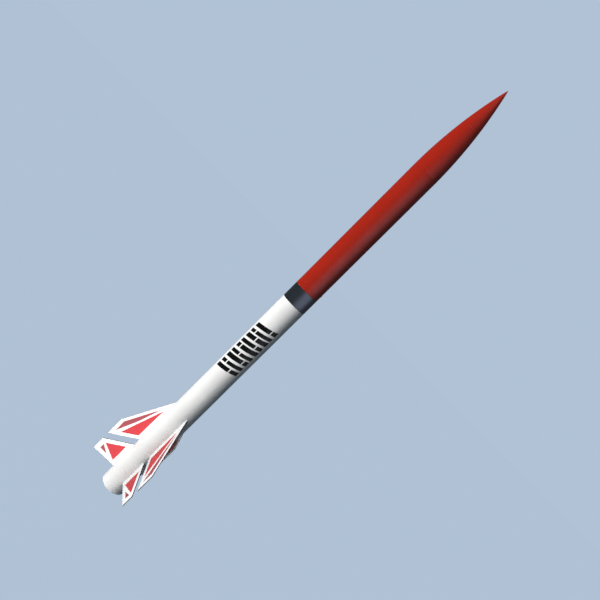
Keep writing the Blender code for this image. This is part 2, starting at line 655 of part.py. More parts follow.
def rail_guides():
    """T-shaped guides with slanted ends, on the line between fins 3 and 1."""
    side = [
        (GUIDE_FOOT_HALF, TUBE_OUTER + GAP), (GUIDE_FOOT_HALF, GUIDE_FOOT_TOP),
        (GUIDE_NECK_HALF, GUIDE_FOOT_TOP), (GUIDE_NECK_HALF, GUIDE_HEAD_BOTTOM),
        (GUIDE_HEAD_HALF, GUIDE_HEAD_BOTTOM), (GUIDE_HEAD_HALF, GUIDE_FACE),
    ]
    outline = side + [(-across, out) for across, out in reversed(side)]
    for name, bottom in GUIDE_BOTTOMS.items():
        bm = bmesh.new()
        face = bm.faces.new([bm.verts.new((out, across, bottom)) for across, out in outline])
        made = bmesh.ops.extrude_face_region(bm, geom=[face])["geom"]
        moved = [item for item in made if isinstance(item, bmesh.types.BMVert)]
        bmesh.ops.translate(bm, vec=(0, 0, GUIDE_LENGTH), verts=moved)
        for vert in bm.verts:
            share = (vert.co.x - TUBE_OUTER) / (GUIDE_FACE - TUBE_OUTER)
            inward = GUIDE_SLANT * share
            vert.co.z += inward if vert.co.z < bottom + GUIDE_LENGTH / 2 else -inward
        place(name, bm, MATERIALS["guide"], GUIDE_ANGLE)


def packed(name, size, material):
    """A rolled bundle with rounded ends."""
    radius, bottom, top = size
    soft = BUNDLE_CORNER
    turns = [math.pi / 2 * step / BUNDLE_CORNER_STEPS for step in range(BUNDLE_CORNER_STEPS + 1)]
    outline = [(0, top)]
    for turn in turns:
        outline.append((radius - soft + soft * math.sin(turn), top - soft + soft * math.cos(turn)))
    for turn in turns:
        outline.append((radius - soft + soft * math.cos(turn), bottom + soft - soft * math.sin(turn)))
    outline.append((0, bottom))
    turned(name, outline, material, 20)


def recovery_gear():
    packed("booster_shock_cord", DROGUE_CORD, MATERIALS["webbing"])
    packed("drogue_parachute", DROGUE_PARACHUTE, MATERIALS["orange_nylon"])
    packed("payload_shock_cord", MAIN_CORD, MATERIALS["webbing"])
    packed("main_parachute", MAIN_PARACHUTE, MATERIALS["red_nylon"])


clear_scene()
MATERIALS = {
    "helper": paint("helper", (0.5, 0.5, 0.5), 0.5),
    "white": paint("white_paint", (0.86, 0.86, 0.85), 0.25),
    "fin": paint("fin_paint", (0.88, 0.88, 0.87), 0.3),
    "red": paint("red_paint", (0.42, 0.02, 0.015), 0.35),
    "black": paint("black_paint", (0.015, 0.018, 0.025), 0.3),
    "fibreglass": paint("fibreglass", (0.62, 0.66, 0.42), 0.45),
    "black_anodised": paint("black_anodised", (0.03, 0.03, 0.035), 0.35, 0.8),
    "red_anodised": paint("red_anodised", (0.35, 0.02, 0.03), 0.3, 0.9),
    "aluminium": paint("aluminium", (0.75, 0.76, 0.78), 0.35, 1.0),
    "steel": paint("zinc_steel", (0.6, 0.6, 0.62), 0.35, 1.0),
    "brass": paint("brass", (0.75, 0.55, 0.22), 0.3, 1.0),
    "graphite": paint("graphite", (0.04, 0.04, 0.045), 0.5),
    "phenolic": paint("phenolic", (0.28, 0.14, 0.06), 0.6),
    "grain": paint("propellant", (0.16, 0.15, 0.14), 0.8),
    "sled": paint("sled_plywood", (0.62, 0.45, 0.26), 0.6),
    "circuit_board": paint("circuit_board", (0.02, 0.18, 0.06), 0.4),
    "battery": paint("battery_case", (0.05, 0.05, 0.06), 0.4),
    "switch": paint("switch_body", (0.08, 0.08, 0.09), 0.5),
    "guide": paint("guide_plastic", (0.85, 0.85, 0.84), 0.4),
    "webbing": paint("webbing", (0.75, 0.68, 0.35), 0.9),
    "orange_nylon": paint("orange_nylon", (0.85, 0.25, 0.03), 0.7),
    "red_nylon": paint("red_nylon", (0.6, 0.03, 0.04), 0.7),
}
booster_tube()
fins()
motor_mount()
motor_retainer()
motor()
rail_guides()
electronics_bay()
nose()
recovery_gear()
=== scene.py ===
"""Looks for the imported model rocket: fine shapes, graphics, soft goods, materials, camera and light.

Lengths are metres in the row frame: the origin is the centre of the booster tube's aft end, +Z runs
towards the nose and fin 1 points along -X. Azimuths are degrees from +X towards +Y.
"""

import json
import math
import random

import bmesh
import bpy
import numpy as np
from mathutils import Matrix, Vector

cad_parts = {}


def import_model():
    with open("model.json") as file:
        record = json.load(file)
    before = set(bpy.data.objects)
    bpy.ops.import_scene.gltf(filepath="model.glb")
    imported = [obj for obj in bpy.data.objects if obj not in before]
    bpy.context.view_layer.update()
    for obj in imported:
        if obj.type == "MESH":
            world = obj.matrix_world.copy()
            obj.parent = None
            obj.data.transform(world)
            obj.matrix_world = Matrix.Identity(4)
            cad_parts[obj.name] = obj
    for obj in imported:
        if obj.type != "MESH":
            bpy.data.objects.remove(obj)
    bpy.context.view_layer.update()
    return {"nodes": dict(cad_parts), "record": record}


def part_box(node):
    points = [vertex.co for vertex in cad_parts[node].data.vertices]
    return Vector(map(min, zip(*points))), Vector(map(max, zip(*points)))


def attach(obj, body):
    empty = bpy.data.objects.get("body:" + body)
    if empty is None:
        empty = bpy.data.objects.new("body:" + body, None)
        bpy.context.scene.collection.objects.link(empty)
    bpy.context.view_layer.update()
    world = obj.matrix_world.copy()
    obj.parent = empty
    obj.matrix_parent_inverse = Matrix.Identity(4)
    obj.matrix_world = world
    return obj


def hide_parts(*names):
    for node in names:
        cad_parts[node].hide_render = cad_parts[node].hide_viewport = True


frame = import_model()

MM = 0.001
RECORD = frame["record"]
SLOT = {entry["node"]: entry["material_slot"] for entry in RECORD["subparts"]}
BODY = {node: body for body, nodes in RECORD["behaviour"]["bodies"].items() for node in nodes}

AIRFRAME_SIDES = 120
MOTOR_SIDES = 96
SMALL_SIDES = 40
SHARP = math.radians(34)

# Airframe sizes that the nodes' boxes don't give
TUBE_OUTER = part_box("payload_tube")[1].x
TUBE_INNER = TUBE_OUTER - 1.57 * MM
COUPLER_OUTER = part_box("avbay_coupler")[1].x
COUPLER_INNER = COUPLER_OUTER - 1.53 * MM
EDGE = 0.4 * MM  # how far the tubes' end corners are rounded off

FIN_ANGLES = (180, 300, 60)
FIN_HALF_THICKNESS = 1.6 * MM
FILLET = 5.0 * MM
# Heights between which a fin's tab goes through the tube's wall, and between which its root lies on it
FIN_TABS = ((62 * MM, 156 * MM), (212 * MM, 388 * MM))
FIN_ROOTS = {"forward": (199.1 * MM, 405.9 * MM), "aft": (52.0 * MM, 170.2 * MM)}
SLOT_GAP = 0.3 * MM

OGIVE_LENGTH = 406.4 * MM
OGIVE_CIRCLE = (TUBE_OUTER**2 + OGIVE_LENGTH**2) / (2 * TUBE_OUTER)  # radius of the arc that shapes it
NOSE_TIP_RADIUS = 1.8 * MM
NOSE_WALL = 1.57 * MM
NOSE_SOCKET = 40.6 * MM

SWITCH_ANGLE = 120
SWITCH_HEIGHT = sum(corner.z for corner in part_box("switch_band")) / 2
VENT_ANGLES = (0, 90, 210)
RIVET_ANGLES = (0, 120, 240)
RIVET_HEIGHT = sum(corner.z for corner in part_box("payload_rivet_1")) / 2

FILM = (-0.05 * MM, 0.12 * MM)  # how far a film's two faces stand from the surface it is on
# The bright and the dull red panel on each kind of fin, as (height, distance from the axis) in millimetres
FIN_PANELS = {
    "forward": (
        ((168, 121), (208, 63.5), (348, 60.5)),
        ((159, 139.5), (206, 141), (347, 69.5), (253, 100)),
    ),
    "aft": (
        ((95.5, 133), (141.5, 67), (65, 67)),
        ((66.5, 135), (86.5, 135), (66.5, 102)),
    ),
}


def span(node):
    """Bottom and top of a CAD node."""
    low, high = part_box(node)
    return low.z, high.z


def middle(node):
    """Middle of a CAD node's box."""
    return tuple((low + high) / 2 for low, high in zip(*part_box(node)))


def metres(points):
    """An outline given in millimetres, in metres."""
    return [tuple(value * MM for value in point) for point in points]


# ---------------------------------------------------------------- materials


def feed(tree, socket, value):
    """Links a socket, or sets a constant."""
    if isinstance(value, bpy.types.NodeSocket):
        tree.links.new(value, socket)
    else:
        socket.default_value = value


class Surface:
    """A material in the making: a Principled shader, and short calls that add nodes before it."""

    def __init__(self, name, **sockets):
        self.material = bpy.data.materials.new(name)
        self.material.use_nodes = True
        self.tree = self.material.node_tree
        self.shader = self.tree.nodes["Principled BSDF"]
        for socket, value in sockets.items():
            self.set(socket.replace("_", " ").title().replace("Ior", "IOR"), value)
        self.here = self.node("ShaderNodeTexCoord").outputs["Object"]

    def set(self, socket, value):
        feed(self.tree, self.shader.inputs[socket], value)

    def node(self, kind, inputs=None, **settings):
        made = self.tree.nodes.new(kind)
        for key, value in settings.items():
            setattr(made, key, value)
        for key, value in (inputs or {}).items():
            feed(self.tree, made.inputs[key], value)
        return made

    def math(self, operation, *values):
        return self.node("ShaderNodeMath", dict(enumerate(values)), operation=operation).outputs[0]

    def axes(self):
        split = self.node("ShaderNodeSeparateXYZ", {0: self.here})
        return split.outputs[0], split.outputs[1], split.outputs[2]

    def angle(self):
        """Azimuth about the rocket's axis, in radians."""
        x, y, _ = self.axes()
        return self.math("ARCTAN2", y, x)

    def noise(self, scale, detail=3.0, stretch=None):
        """Noise on object coordinates, or on each axis times a factor, for grain that runs one way."""
        where = self.here
        if stretch:
            where = self.node("ShaderNodeMapping", {"Vector": where, "Scale": stretch}).outputs[0]
        return self.node("ShaderNodeTexNoise", {"Vector": where, "Scale": scale, "Detail": detail}).outputs[0]

    def between(self, value, low, high, start=0.0, end=1.0):
        """Maps low..high of a value to start..end, clamped."""
        inputs = {0: value, 1: low, 2: high, 3: start, 4: end}
        return self.node("ShaderNodeMapRange", inputs).outputs[0]

    def spread(self, value, start=0.0, end=1.0):
        """Maps a noise's middle range to start..end."""
        return self.between(value, 0.3, 0.7, start, end)

    def blend(self, factor, first, second):
        """A colour between two colours, each a triple or a socket."""
        first, second = ((*c, 1) if isinstance(c, tuple) else c for c in (first, second))
        mix = self.node("ShaderNodeMix", {0: factor, 6: first, 7: second}, data_type="RGBA")
        return mix.outputs[2]

    def wave(self, value, per_unit, shift=0.0):
        """A sine of a value, from 0 to 1."""
        turned = self.math("MULTIPLY_ADD", value, per_unit, shift)
        return self.math("MULTIPLY_ADD", self.math("SINE", turned), 0.5, 0.5)

    def mottled(self, colour, value, dark, light, low=0.35, high=0.65):
        """A colour whose tone follows a value, from dark to light times itself."""
        return self.blend(self.between(value, low, high), shade(colour, dark), shade(colour, light))

    def finish(self, colour, roughness, height, depth):
        """Sets what every surface has, and gives the finished material."""
        self.set("Base Color", colour)
        self.set("Roughness", roughness)
        inputs = {"Height": height, "Distance": depth, "Strength": 1.0}
        self.set("Normal", self.node("ShaderNodeBump", inputs).outputs[0])
        return self.material


def shade(colour, factor):
    return tuple(min(1.0, channel * factor) for channel in colour)


def sprayed(name, colour, roughness, specular, dirt=(0.45, 0.42, 0.38), dirt_share=0.05, tint=(1, 1, 1)):
    """Sprayed paint: orange peel, a broad drift in tone, faint rubbed marks along the rocket."""
    s = Surface(name, specular_tint=(*tint, 1), specular_ior_level=specular)
    tone = s.mottled(colour, s.noise(7.0, 4.0), 0.95, 1.03)
    rubbed = s.between(s.noise(1.0, 5.0, (240, 240, 9)), 0.60, 0.78)
    grime = s.math("MULTIPLY", rubbed, s.between(s.noise(18.0, 2.0), 0.45, 0.7, 0.0, dirt_share))
    uneven = s.spread(s.noise(30.0), roughness - 0.04, roughness + 0.05)
    worn = s.math("MULTIPLY_ADD", rubbed, 0.08, uneven)
    return s.finish(s.blend(grime, tone, shade(dirt, 0.9)), worn, s.noise(420.0, 1.5), 0.000006)


def vinyl(name, colour, specular=0.25):
    """Cut vinyl: smooth satin film with a slight drift in tone."""
    s = Surface(name, specular_ior_level=specular)
    tone = s.mottled(colour, s.noise(40.0), 0.95, 1.04, 0.3, 0.7)
    return s.finish(tone, s.spread(s.noise(120.0, 2.0), 0.34, 0.42), s.noise(900.0, 1.0), 0.000008)


def wound_fibreglass():
    """Filament-wound tube: two families of glass bands that cross on a slant."""
    s = Surface("wound_fibreglass")
    turn, height = s.math("MULTIPLY", s.angle(), 22.0), s.axes()[2]
    slants = [s.math("MULTIPLY_ADD", height, slope, turn) for slope in (560.0, -560.0)]
    weave = s.math("MAXIMUM", *(s.wave(slant, 1.0) for slant in slants))
    fibres = s.noise(1.0, 3.0, (900, 900, 500))
    pattern = s.math("MULTIPLY_ADD", fibres, 0.35, s.math("MULTIPLY", weave, 0.65))
    tone = s.blend(s.between(pattern, 0.35, 0.85), (0.36, 0.40, 0.19), (0.60, 0.64, 0.38))
    return s.finish(tone, s.spread(fibres, 0.32, 0.5), pattern, 0.00004)


def sheet_fibreglass():
    """Laminated sheet: a plain weave seen through clear resin."""
    s = Surface("sheet_fibreglass")
    x, y, z = s.axes()
    across = s.wave(x, 3600.0)
    along = s.wave(s.math("ADD", y, z), 3600.0)
    over = s.math("MAXIMUM", s.math("MULTIPLY", across, s.wave(along, 3.1)), along)
    stain = s.noise(60.0, 4.0)
    pattern = s.math("MULTIPLY_ADD", stain, 0.5, s.math("MULTIPLY", over, 0.5))
    tone = s.blend(s.between(pattern, 0.3, 0.8), (0.34, 0.39, 0.17), (0.58, 0.62, 0.34))
    return s.finish(tone, s.spread(stain, 0.36, 0.52), over, 0.00003)


def machined(name, colour, roughness, metallic=1.0, tint=None, marks=3800.0):
    """Turned or drawn metal: fine rings across the axis, handling marks and a drift in colour."""
    s = Surface(name, metallic=metallic)
    rings = s.noise(1.0, 2.0, (20, 20, marks))
    tone = s.blend(s.between(s.noise(45.0), 0.35, 0.65), colour, tint or shade(colour, 0.82))
    handled = s.between(s.noise(140.0, 4.0), 0.35, 0.7, -0.05, 0.1)
    polish = s.math("ADD", s.spread(rings, roughness - 0.04, roughness + 0.05), handled)
    return s.finish(tone, polish, rings, 0.00001)


def moulded(name, colour, roughness, grain=700.0, depth=0.00002):
    """Moulded plastic or cast material with a fine even grain."""
    s = Surface(name)
    tone = s.mottled(colour, s.noise(35.0), 0.92, 1.06)
    texture = s.noise(grain, 2.0)
    return s.finish(tone, s.spread(texture, roughness - 0.05, roughness + 0.06), texture, depth)


def speckled(name, colour, speck, roughness, scale):
    """A cast or pressed material with grains of another colour in it."""
    s = Surface(name)
    grains = s.node("ShaderNodeTexVoronoi", {"Vector": s.here, "Scale": scale}).outputs["Distance"]
    drift = s.noise(80.0)
    body = s.mottled(colour, drift, 0.85, 1.1)
    tone = s.blend(s.between(grains, 0.12, 0.3, 1.0, 0.0), body, speck)
    uneven = s.spread(drift, roughness - 0.06, roughness + 0.08)
    return s.finish(tone, uneven, s.math("ADD", grains, drift), 0.00008)


def phenolic():
    """Spiral-wound paper tube soaked in resin."""
    s = Surface("phenolic")
    wrap = s.math("MULTIPLY_ADD", s.axes()[2], 180.0, s.angle())
    seam = s.between(s.wave(wrap, 1.0), 0.93, 1.0)
    fibre = s.noise(1.0, 4.0, (500, 500, 1500))
    body = s.blend(s.spread(fibre), (0.20, 0.09, 0.035), (0.36, 0.19, 0.08))
    tone = s.blend(seam, body, (0.12, 0.05, 0.02))
    return s.finish(tone, s.spread(fibre, 0.5, 0.65), s.math("SUBTRACT", fibre, seam), 0.00005)


def plywood():
    """Birch plywood: long grain on the faces, plies on the edges."""
    s = Surface("birch_plywood")
    grain = s.noise(1.0, 5.0, (420, 1200, 22))
    plies = s.between(s.wave(s.axes()[1], 6200.0), 0.55, 0.75)
    face = s.blend(s.spread(grain), (0.46, 0.29, 0.14), (0.72, 0.54, 0.33))
    tone = s.blend(s.math("MULTIPLY", plies, 0.35), face, (0.33, 0.19, 0.09))
    return s.finish(tone, s.spread(grain, 0.5, 0.66), grain, 0.00005)


def circuit_board():
    """Green solder mask over copper tracks."""
    s = Surface("circuit_board")
    x, _, z = s.axes()
    tracks = s.math("MAXIMUM", s.wave(x, 2100.0), s.wave(z, 1500.0))
    broken = s.math("MULTIPLY", tracks, s.between(s.noise(90.0, 1.0), 0.45, 0.55))
    on_track = s.between(broken, 0.80, 0.92)
    tone = s.blend(on_track, (0.012, 0.14, 0.045), (0.05, 0.32, 0.11))
    return s.finish(tone, s.spread(s.noise(300.0), 0.28, 0.4), on_track, 0.00004)


def battery_wrap(bottom, top):
    """Enamelled can: black body with a copper band at the terminal end."""
    s = Surface("battery_wrap", metallic=0.35)
    band = s.between(s.between(s.axes()[2], bottom, top), 0.70, 0.71)
    drift = s.noise(60.0)
    dark = s.blend(s.spread(drift), (0.018, 0.018, 0.02), (0.035, 0.035, 0.04))
    copper = s.blend(s.spread(drift), (0.42, 0.20, 0.09), (0.55, 0.28, 0.13))
    return s.finish(s.blend(band, dark, copper), s.spread(drift, 0.26, 0.38), s.noise(500.0, 1.0), 0.00001)


def woven(name, colour, thread=1.1 * MM):
    """Webbing: threads that cross over and under each other. The tone drifts at random and also darkens where
    the weave lies low, as painted shade between the threads.
    """
    s = Surface(name, sheen_weight=0.25)
    x, y, z = s.axes()
    per_metre = math.tau / thread
    across = s.wave(s.math("ADD", x, y), per_metre)
    along = s.wave(z, per_metre * 0.6)
    twill = s.wave(s.math("MULTIPLY_ADD", z, 0.6, s.math("ADD", x, y)), per_metre * 0.5)
    height = s.math("MULTIPLY", s.math("MAXIMUM", across, along), s.math("MULTIPLY_ADD", twill, 0.5, 0.5))
    pattern = s.math("MULTIPLY_ADD", s.noise(900.0), 0.3, s.math("MULTIPLY", height, 0.7))
    # tone partly random and partly painted shade, darker where the weave lies low
    return s.finish(s.mottled(colour, pattern, 0.6, 1.1, 0.2, 0.8), 0.85, pattern, 0.00012)


def ripstop(name, colour):
    """Thin nylon with a grid of heavier threads, wrinkled where it is folded, with painted shade darkening the
    creases' hollows.
    """
    s = Surface(name, sheen_weight=0.35, sheen_roughness=0.4)
    grid = s.math("MAXIMUM", s.wave(s.axes()[2], math.tau / 0.005), s.wave(s.angle(), 42.0))
    thread = s.between(grid, 0.93, 0.985)
    creases = s.noise(1.0, 5.0, (110, 110, 30))
    # the tone darkens where the creases lie low: painted shade in the folds
    body = s.mottled(colour, creases, 0.72, 1.08, 0.35, 0.7)
    tone = s.blend(s.math("MULTIPLY", thread, 0.4), body, shade(colour, 1.5))
    fine = s.math("MULTIPLY_ADD", s.noise(1800.0, 2.0), 0.15, thread)
    relief = s.math("MULTIPLY_ADD", creases, 3.0, fine)
    return s.finish(tone, s.spread(creases, 0.42, 0.6), relief, 0.0002)


LOOKS = {
    "white_paint": sprayed("gloss_white_paint", (0.87, 0.87, 0.865), 0.40, 0.20),
    "fin_paint": sprayed("fin_white_paint", (0.86, 0.86, 0.855), 0.40, 0.30),
    # near-black on the fins' edge faces: painted shade along the rim
    "fin_edge": sprayed("fin_edge_paint", (0.010, 0.010, 0.012), 0.50, 0.2),
    "red_paint": sprayed("satin_red_paint", (0.346, 0.0148, 0.0050), 0.50, 0.22, (0.30, 0.10, 0.07), 0.10),
    "black_paint": sprayed(
        "gloss_black_paint", (0.0110, 0.0145, 0.0165), 0.46, 0.85, (0.08, 0.08, 0.09), tint=(0.72, 0.78, 1.0)
    ),
    "red_plastic": moulded("red_nylon_rivet", (0.34, 0.02, 0.012), 0.45),
    "panel_bright": vinyl("bright_red_film", (0.57, 0.055, 0.062)),
    "panel_dull": vinyl("dull_red_film", (0.36, 0.080, 0.094)),
    "panel_black": vinyl("black_film", (0.0035, 0.0032, 0.0035), 0.12),
    "wound": wound_fibreglass(),
    "fibreglass": sheet_fibreglass(),
    "black_anodised": machined("black_anodised", (0.022, 0.022, 0.026), 0.34, 0.75),
    "red_anodised": machined("red_anodised", (0.42, 0.018, 0.026), 0.28, 0.95),
    "aluminium": machined("turned_aluminium", (0.76, 0.77, 0.79), 0.30),
    "zinc_steel": machined("zinc_plated_steel", (0.64, 0.65, 0.68), 0.32, 1.0, (0.60, 0.57, 0.46), 1400.0),
    "brass": machined("turned_brass", (0.78, 0.56, 0.22), 0.27, 1.0, (0.62, 0.40, 0.15)),
    "graphite": speckled("graphite", (0.04, 0.04, 0.043), (0.10, 0.10, 0.11), 0.46, 1600.0),
    "phenolic": phenolic(),
    "propellant": speckled("cast_propellant", (0.10, 0.095, 0.09), (0.42, 0.40, 0.37), 0.75, 900.0),
    "sled_plywood": plywood(),
    "circuit_board": circuit_board(),
    "battery_case": battery_wrap(*span("battery")),
    "switch_plastic": moulded("black_moulding", (0.035, 0.035, 0.04), 0.45),
    "guide_plastic": moulded("white_acetal", (0.78, 0.78, 0.76), 0.38, 500.0, 0.000012),
    "webbing": woven("aramid_webbing", (0.68, 0.56, 0.22)),
    "rubber": moulded("band_rubber", (0.30, 0.20, 0.12), 0.7),
    "line": woven("braided_line", (0.75, 0.75, 0.72), 0.6 * MM),
    "orange_nylon": ripstop("orange_ripstop", (0.80, 0.20, 0.02)),
    "red_nylon": ripstop("red_ripstop", (0.55, 0.022, 0.03)),
    "chip": moulded("chip_epoxy", (0.025, 0.025, 0.028), 0.5),
    "terminal": moulded("terminal_plastic", (0.03, 0.16, 0.33), 0.42),
}


# ---------------------------------------------------------------- making and placing pieces


def settle(obj, *looks):
    """Links a new object, with its faces turned outward, smooth, and sharp where they meet at an angle."""
    if obj.name not in bpy.context.scene.collection.objects:
        bpy.context.scene.collection.objects.link(obj)
    bm = bmesh.new()
    bm.from_mesh(obj.data)
    bmesh.ops.recalc_face_normals(bm, faces=bm.faces)
    bm.to_mesh(obj.data)
    bm.free()
    obj.data.shade_smooth()
    obj.data.set_sharp_from_angle(angle=SHARP)
    if looks:
        chosen = [face.material_index for face in obj.data.polygons]  # clear() forgets these
        obj.data.materials.clear()
        for look in looks:
            obj.data.materials.append(LOOKS[look])
        obj.data.polygons.foreach_set("material_index", chosen)
    return obj


def meshed(name, verts, faces, *looks):
    mesh = bpy.data.meshes.new(name)
    mesh.from_pydata([tuple(v) for v in verts], [], faces)
    return settle(bpy.data.objects.new(name, mesh), *looks)


def from_bmesh(name, bm, *looks):
    mesh = bpy.data.meshes.new(name)
    bm.to_mesh(mesh)
    bm.free()
    return settle(bpy.data.objects.new(name, mesh), *looks)


def stand_in(obj, *nodes):
    """The piece takes the place of these CAD nodes."""
    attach(obj, BODY[nodes[0]])
    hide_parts(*nodes)
    return obj


def added(obj, body, slot):
    """The piece is a detail of its own on a body."""
    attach(obj, body)
    return obj


def apply_modifiers(obj):
    graph = bpy.context.evaluated_depsgraph_get()
    mesh = bpy.data.meshes.new_from_object(obj.evaluated_get(graph))
    obj.modifiers.clear()
    obj.data = mesh
    return obj


def combined(obj, other, operation, *looks):
    """Boolean of two objects, kept in the first; the second is used up."""
    modifier = obj.modifiers.new("boolean", "BOOLEAN")
    modifier.operation = operation
    modifier.object = other
    apply_modifiers(obj)
    bpy.data.objects.remove(other)
    return settle(obj, *looks)


def skin(count, rings, first=0, closed=False, ends=True):
    """Faces over a row of rings of count points each. The row closes on itself, or has a face at each end."""
    faces = []
    for index in range(rings if closed else rings - 1):
        here, there = first + index * count, first + (index + 1) % rings * count
        for side in range(count):
            following = (side + 1) % count
            faces.append([here + side, here + following, there + following, there + side])
    if ends and not closed:
        faces += [[first + ring * count + side for side in range(count)] for ring in (0, rings - 1)]
    return faces


def joined(name, objects, *looks):
    """Several meshes as one piece of several shells, keeping the place of each in its mesh."""
    bm = bmesh.new()
    for obj in objects:
        obj.data.transform(obj.matrix_world)
        bm.from_mesh(obj.data)
        bpy.data.objects.remove(obj)
    return from_bmesh(name, bm, *looks)


def rounded(points, radius, steps=3):
    """A closed outline with its corners turned into small curves. Points on the axis stay."""
    result = []
    for index, point in enumerate(points):
        here = Vector(point)
        to_before = Vector(points[index - 1]) - here
        to_after = Vector(points[(index + 1) % len(points)]) - here
        nearly_straight = to_before.angle(-to_after, 0.0) < math.radians(20)
        if here.x < 1e-9 or nearly_straight:
            result.append(tuple(here))
            continue
        cut = min(radius, 0.45 * to_before.length, 0.45 * to_after.length)
        start = here + to_before.normalized() * cut
        end = here + to_after.normalized() * cut
        for step in range(steps + 1):
            share = step / steps
            curve = start.lerp(here, share).lerp(here.lerp(end, share), share)
            result.append(tuple(curve))
    return result


def lathe(name, outline, sides, *looks, centre=(0, 0), shape=None):
    """Turns a closed outline of (radius, height) about an upright axis. shape changes each radius."""
    verts, rings, faces = [], [], []
    for radius, height in outline:
        if radius < 1e-9:
            rings.append([len(verts)] * sides)
            verts.append((centre[0], centre[1], height))
            continue
        rings.append(list(range(len(verts), len(verts) + sides)))
        for side in range(sides):
            heading = math.tau * side / sides
            reach = shape(radius, height, heading) if shape else radius
            verts.append((centre[0] + reach * math.cos(heading), centre[1] + reach * math.sin(heading), height))
    pairs = list(zip(rings, rings[1:]))
    if outline[0][0] >= 1e-9:
        pairs.append((rings[-1], rings[0]))
    for lower, upper in pairs:
        for side in range(sides):
            following = (side + 1) % sides
            corners = [lower[side], lower[following], upper[following], upper[side]]
            faces.append(list(dict.fromkeys(corners)))
    return meshed(name, verts, faces, *looks)


def ring_outline(outer, inner, bottom, top, edge, levels=1):
    """Outline of a plain tube with rounded ends and extra levels along both walls."""
    heights = [bottom + (top - bottom) * step / levels for step in range(levels + 1)]
    points = [(outer, height) for height in heights] + [(inner, height) for height in reversed(heights)]
    return rounded(points, edge)


def radial(obj, angle, height):
    """Turns a shape made along Z to point away from the rocket's axis at a height."""
    turn = Matrix.Rotation(math.radians(angle), 4, "Z") @ Matrix.Rotation(math.pi / 2, 4, "Y")
    obj.data.transform(Matrix.Translation((0, 0, height)) @ turn)
    return obj


def facing(obj, x, y, z):
    """Turns a shape made along Z to point along -Y, and moves it."""
    obj.data.transform(Matrix.Translation((x, y, z)) @ Matrix.Rotation(math.pi / 2, 4, "X"))
    return obj


def plug(radius, bottom, top, edge=0.0):
    """Outline of a solid cylinder, with its corners rounded if there is an edge."""
    outline = [(0, bottom), (radius, bottom), (radius, top), (0, top)]
    return rounded(outline, edge) if edge else outline


def cylinder(radius, bottom, top, sides, centre=(0, 0)):
    """A plain cutter."""
    return lathe("cutter", plug(radius, bottom, top), sides, centre=centre)


def drilled(obj, cutters, *looks):
    return combined(obj, joined("cutters", cutters), "DIFFERENCE", *looks)


def turned(node, outline, sides, *looks, **shaping):
    """A turned piece that stands in for a node."""
    return stand_in(lathe(f"{node}_finished", outline, sides, *looks, **shaping), node)


def block(name, size, centre, bevel, *looks):
    """A box with rounded edges."""
    bm = bmesh.new()
    bmesh.ops.create_cube(bm, size=1, matrix=Matrix.Translation(centre) @ Matrix.Diagonal((*size, 1)))
    if bevel:
        bmesh.ops.bevel(bm, geom=bm.edges[:], offset=bevel, segments=2, profile=0.5, affect="EDGES")
    return from_bmesh(name, bm, *looks)


def refined(node, bevel, segments=3):
    """A copy of a CAD node's shape with flat faces made whole and sharp edges rounded."""
    bm = bmesh.new()
    bm.from_mesh(frame["nodes"][node].data)
    bmesh.ops.remove_doubles(bm, verts=bm.verts, dist=1e-6)
    bmesh.ops.dissolve_limit(bm, angle_limit=math.radians(0.5), verts=bm.verts, edges=bm.edges)
    edges = [edge for edge in bm.edges if edge.calc_face_angle(0.0) > math.radians(25)]
    bmesh.ops.bevel(
        bm, geom=edges, offset=bevel, segments=segments, profile=0.5, affect="EDGES", clamp_overlap=True
    )
    return bm


def swept(name, path, radius, sides, *looks, closed=False):
    """A round tube along a path."""
    points = [Vector(point) for point in path]
    count = len(points)
    verts = []
    side_way = None
    for index, point in enumerate(points):
        before = points[index - 1] if index or closed else point
        after = points[(index + 1) % count] if index < count - 1 or closed else point
        ahead = (after - before).normalized()
        if side_way is None:
            side_way = ahead.orthogonal().normalized()
        side_way = (side_way - ahead * side_way.dot(ahead)).normalized()
        other_way = ahead.cross(side_way)
        for side in range(sides):
            turn = math.tau * side / sides
            verts.append(point + (side_way * math.cos(turn) + other_way * math.sin(turn)) * radius)
    return meshed(name, verts, skin(sides, count, closed=closed), *looks)


# ---------------------------------------------------------------- camera, light and floor


def in_scene(name, data):
    made = bpy.data.objects.new(name, data)
    bpy.context.scene.collection.objects.link(made)
    return made


CAMERA_PLACE = (-0.0175, -1.8283, 1.1833)
CAMERA_TURNS = ((89.311 - 90, "Z"), (90 - 5.460, "X"), (45.117, "Z"))  # heading, pitch and roll


def camera():
    data = bpy.data.cameras.new("camera")
    data.sensor_width, data.lens, data.clip_end = 36.0, 30.2, 200.0
    place = Matrix.Translation(CAMERA_PLACE)
    for degrees, axis in CAMERA_TURNS:
        place = place @ Matrix.Rotation(math.radians(degrees), 4, axis)
    made = in_scene("camera", data)
    made.matrix_world = place
    bpy.context.scene.camera = made


def softbox(name, azimuth, elevation, distance, size, power, colour=(1, 1, 1), diffuse=True, glossy=True):
    """A rectangular lamp that looks at the middle of the rocket."""
    data = bpy.data.lights.new(name, "AREA")
    data.shape = "RECTANGLE"
    data.size, data.size_y = size
    data.energy, data.color = power, colour
    made = in_scene(name, data)
    turn, rise = math.radians(azimuth), math.radians(elevation)
    away = Vector((math.cos(turn) * math.cos(rise), math.sin(turn) * math.cos(rise), math.sin(rise)))
    made.location = Vector((0, 0, 1.0)) + away * distance
    made.rotation_mode = "QUATERNION"
    made.rotation_quaternion = away.to_track_quat("Z", "Y")
    made.visible_camera = False
    made.visible_diffuse = diffuse
    made.visible_glossy = glossy
    return made


def light_group(name, pieces, state):
    """A collection that tells a lamp which pieces it lights, or leaves out."""
    group = bpy.data.collections.new(name)
    for piece in pieces:
        group.objects.link(piece)
    for entry in group.collection_objects:
        entry.light_linking.link_state = state
    return group


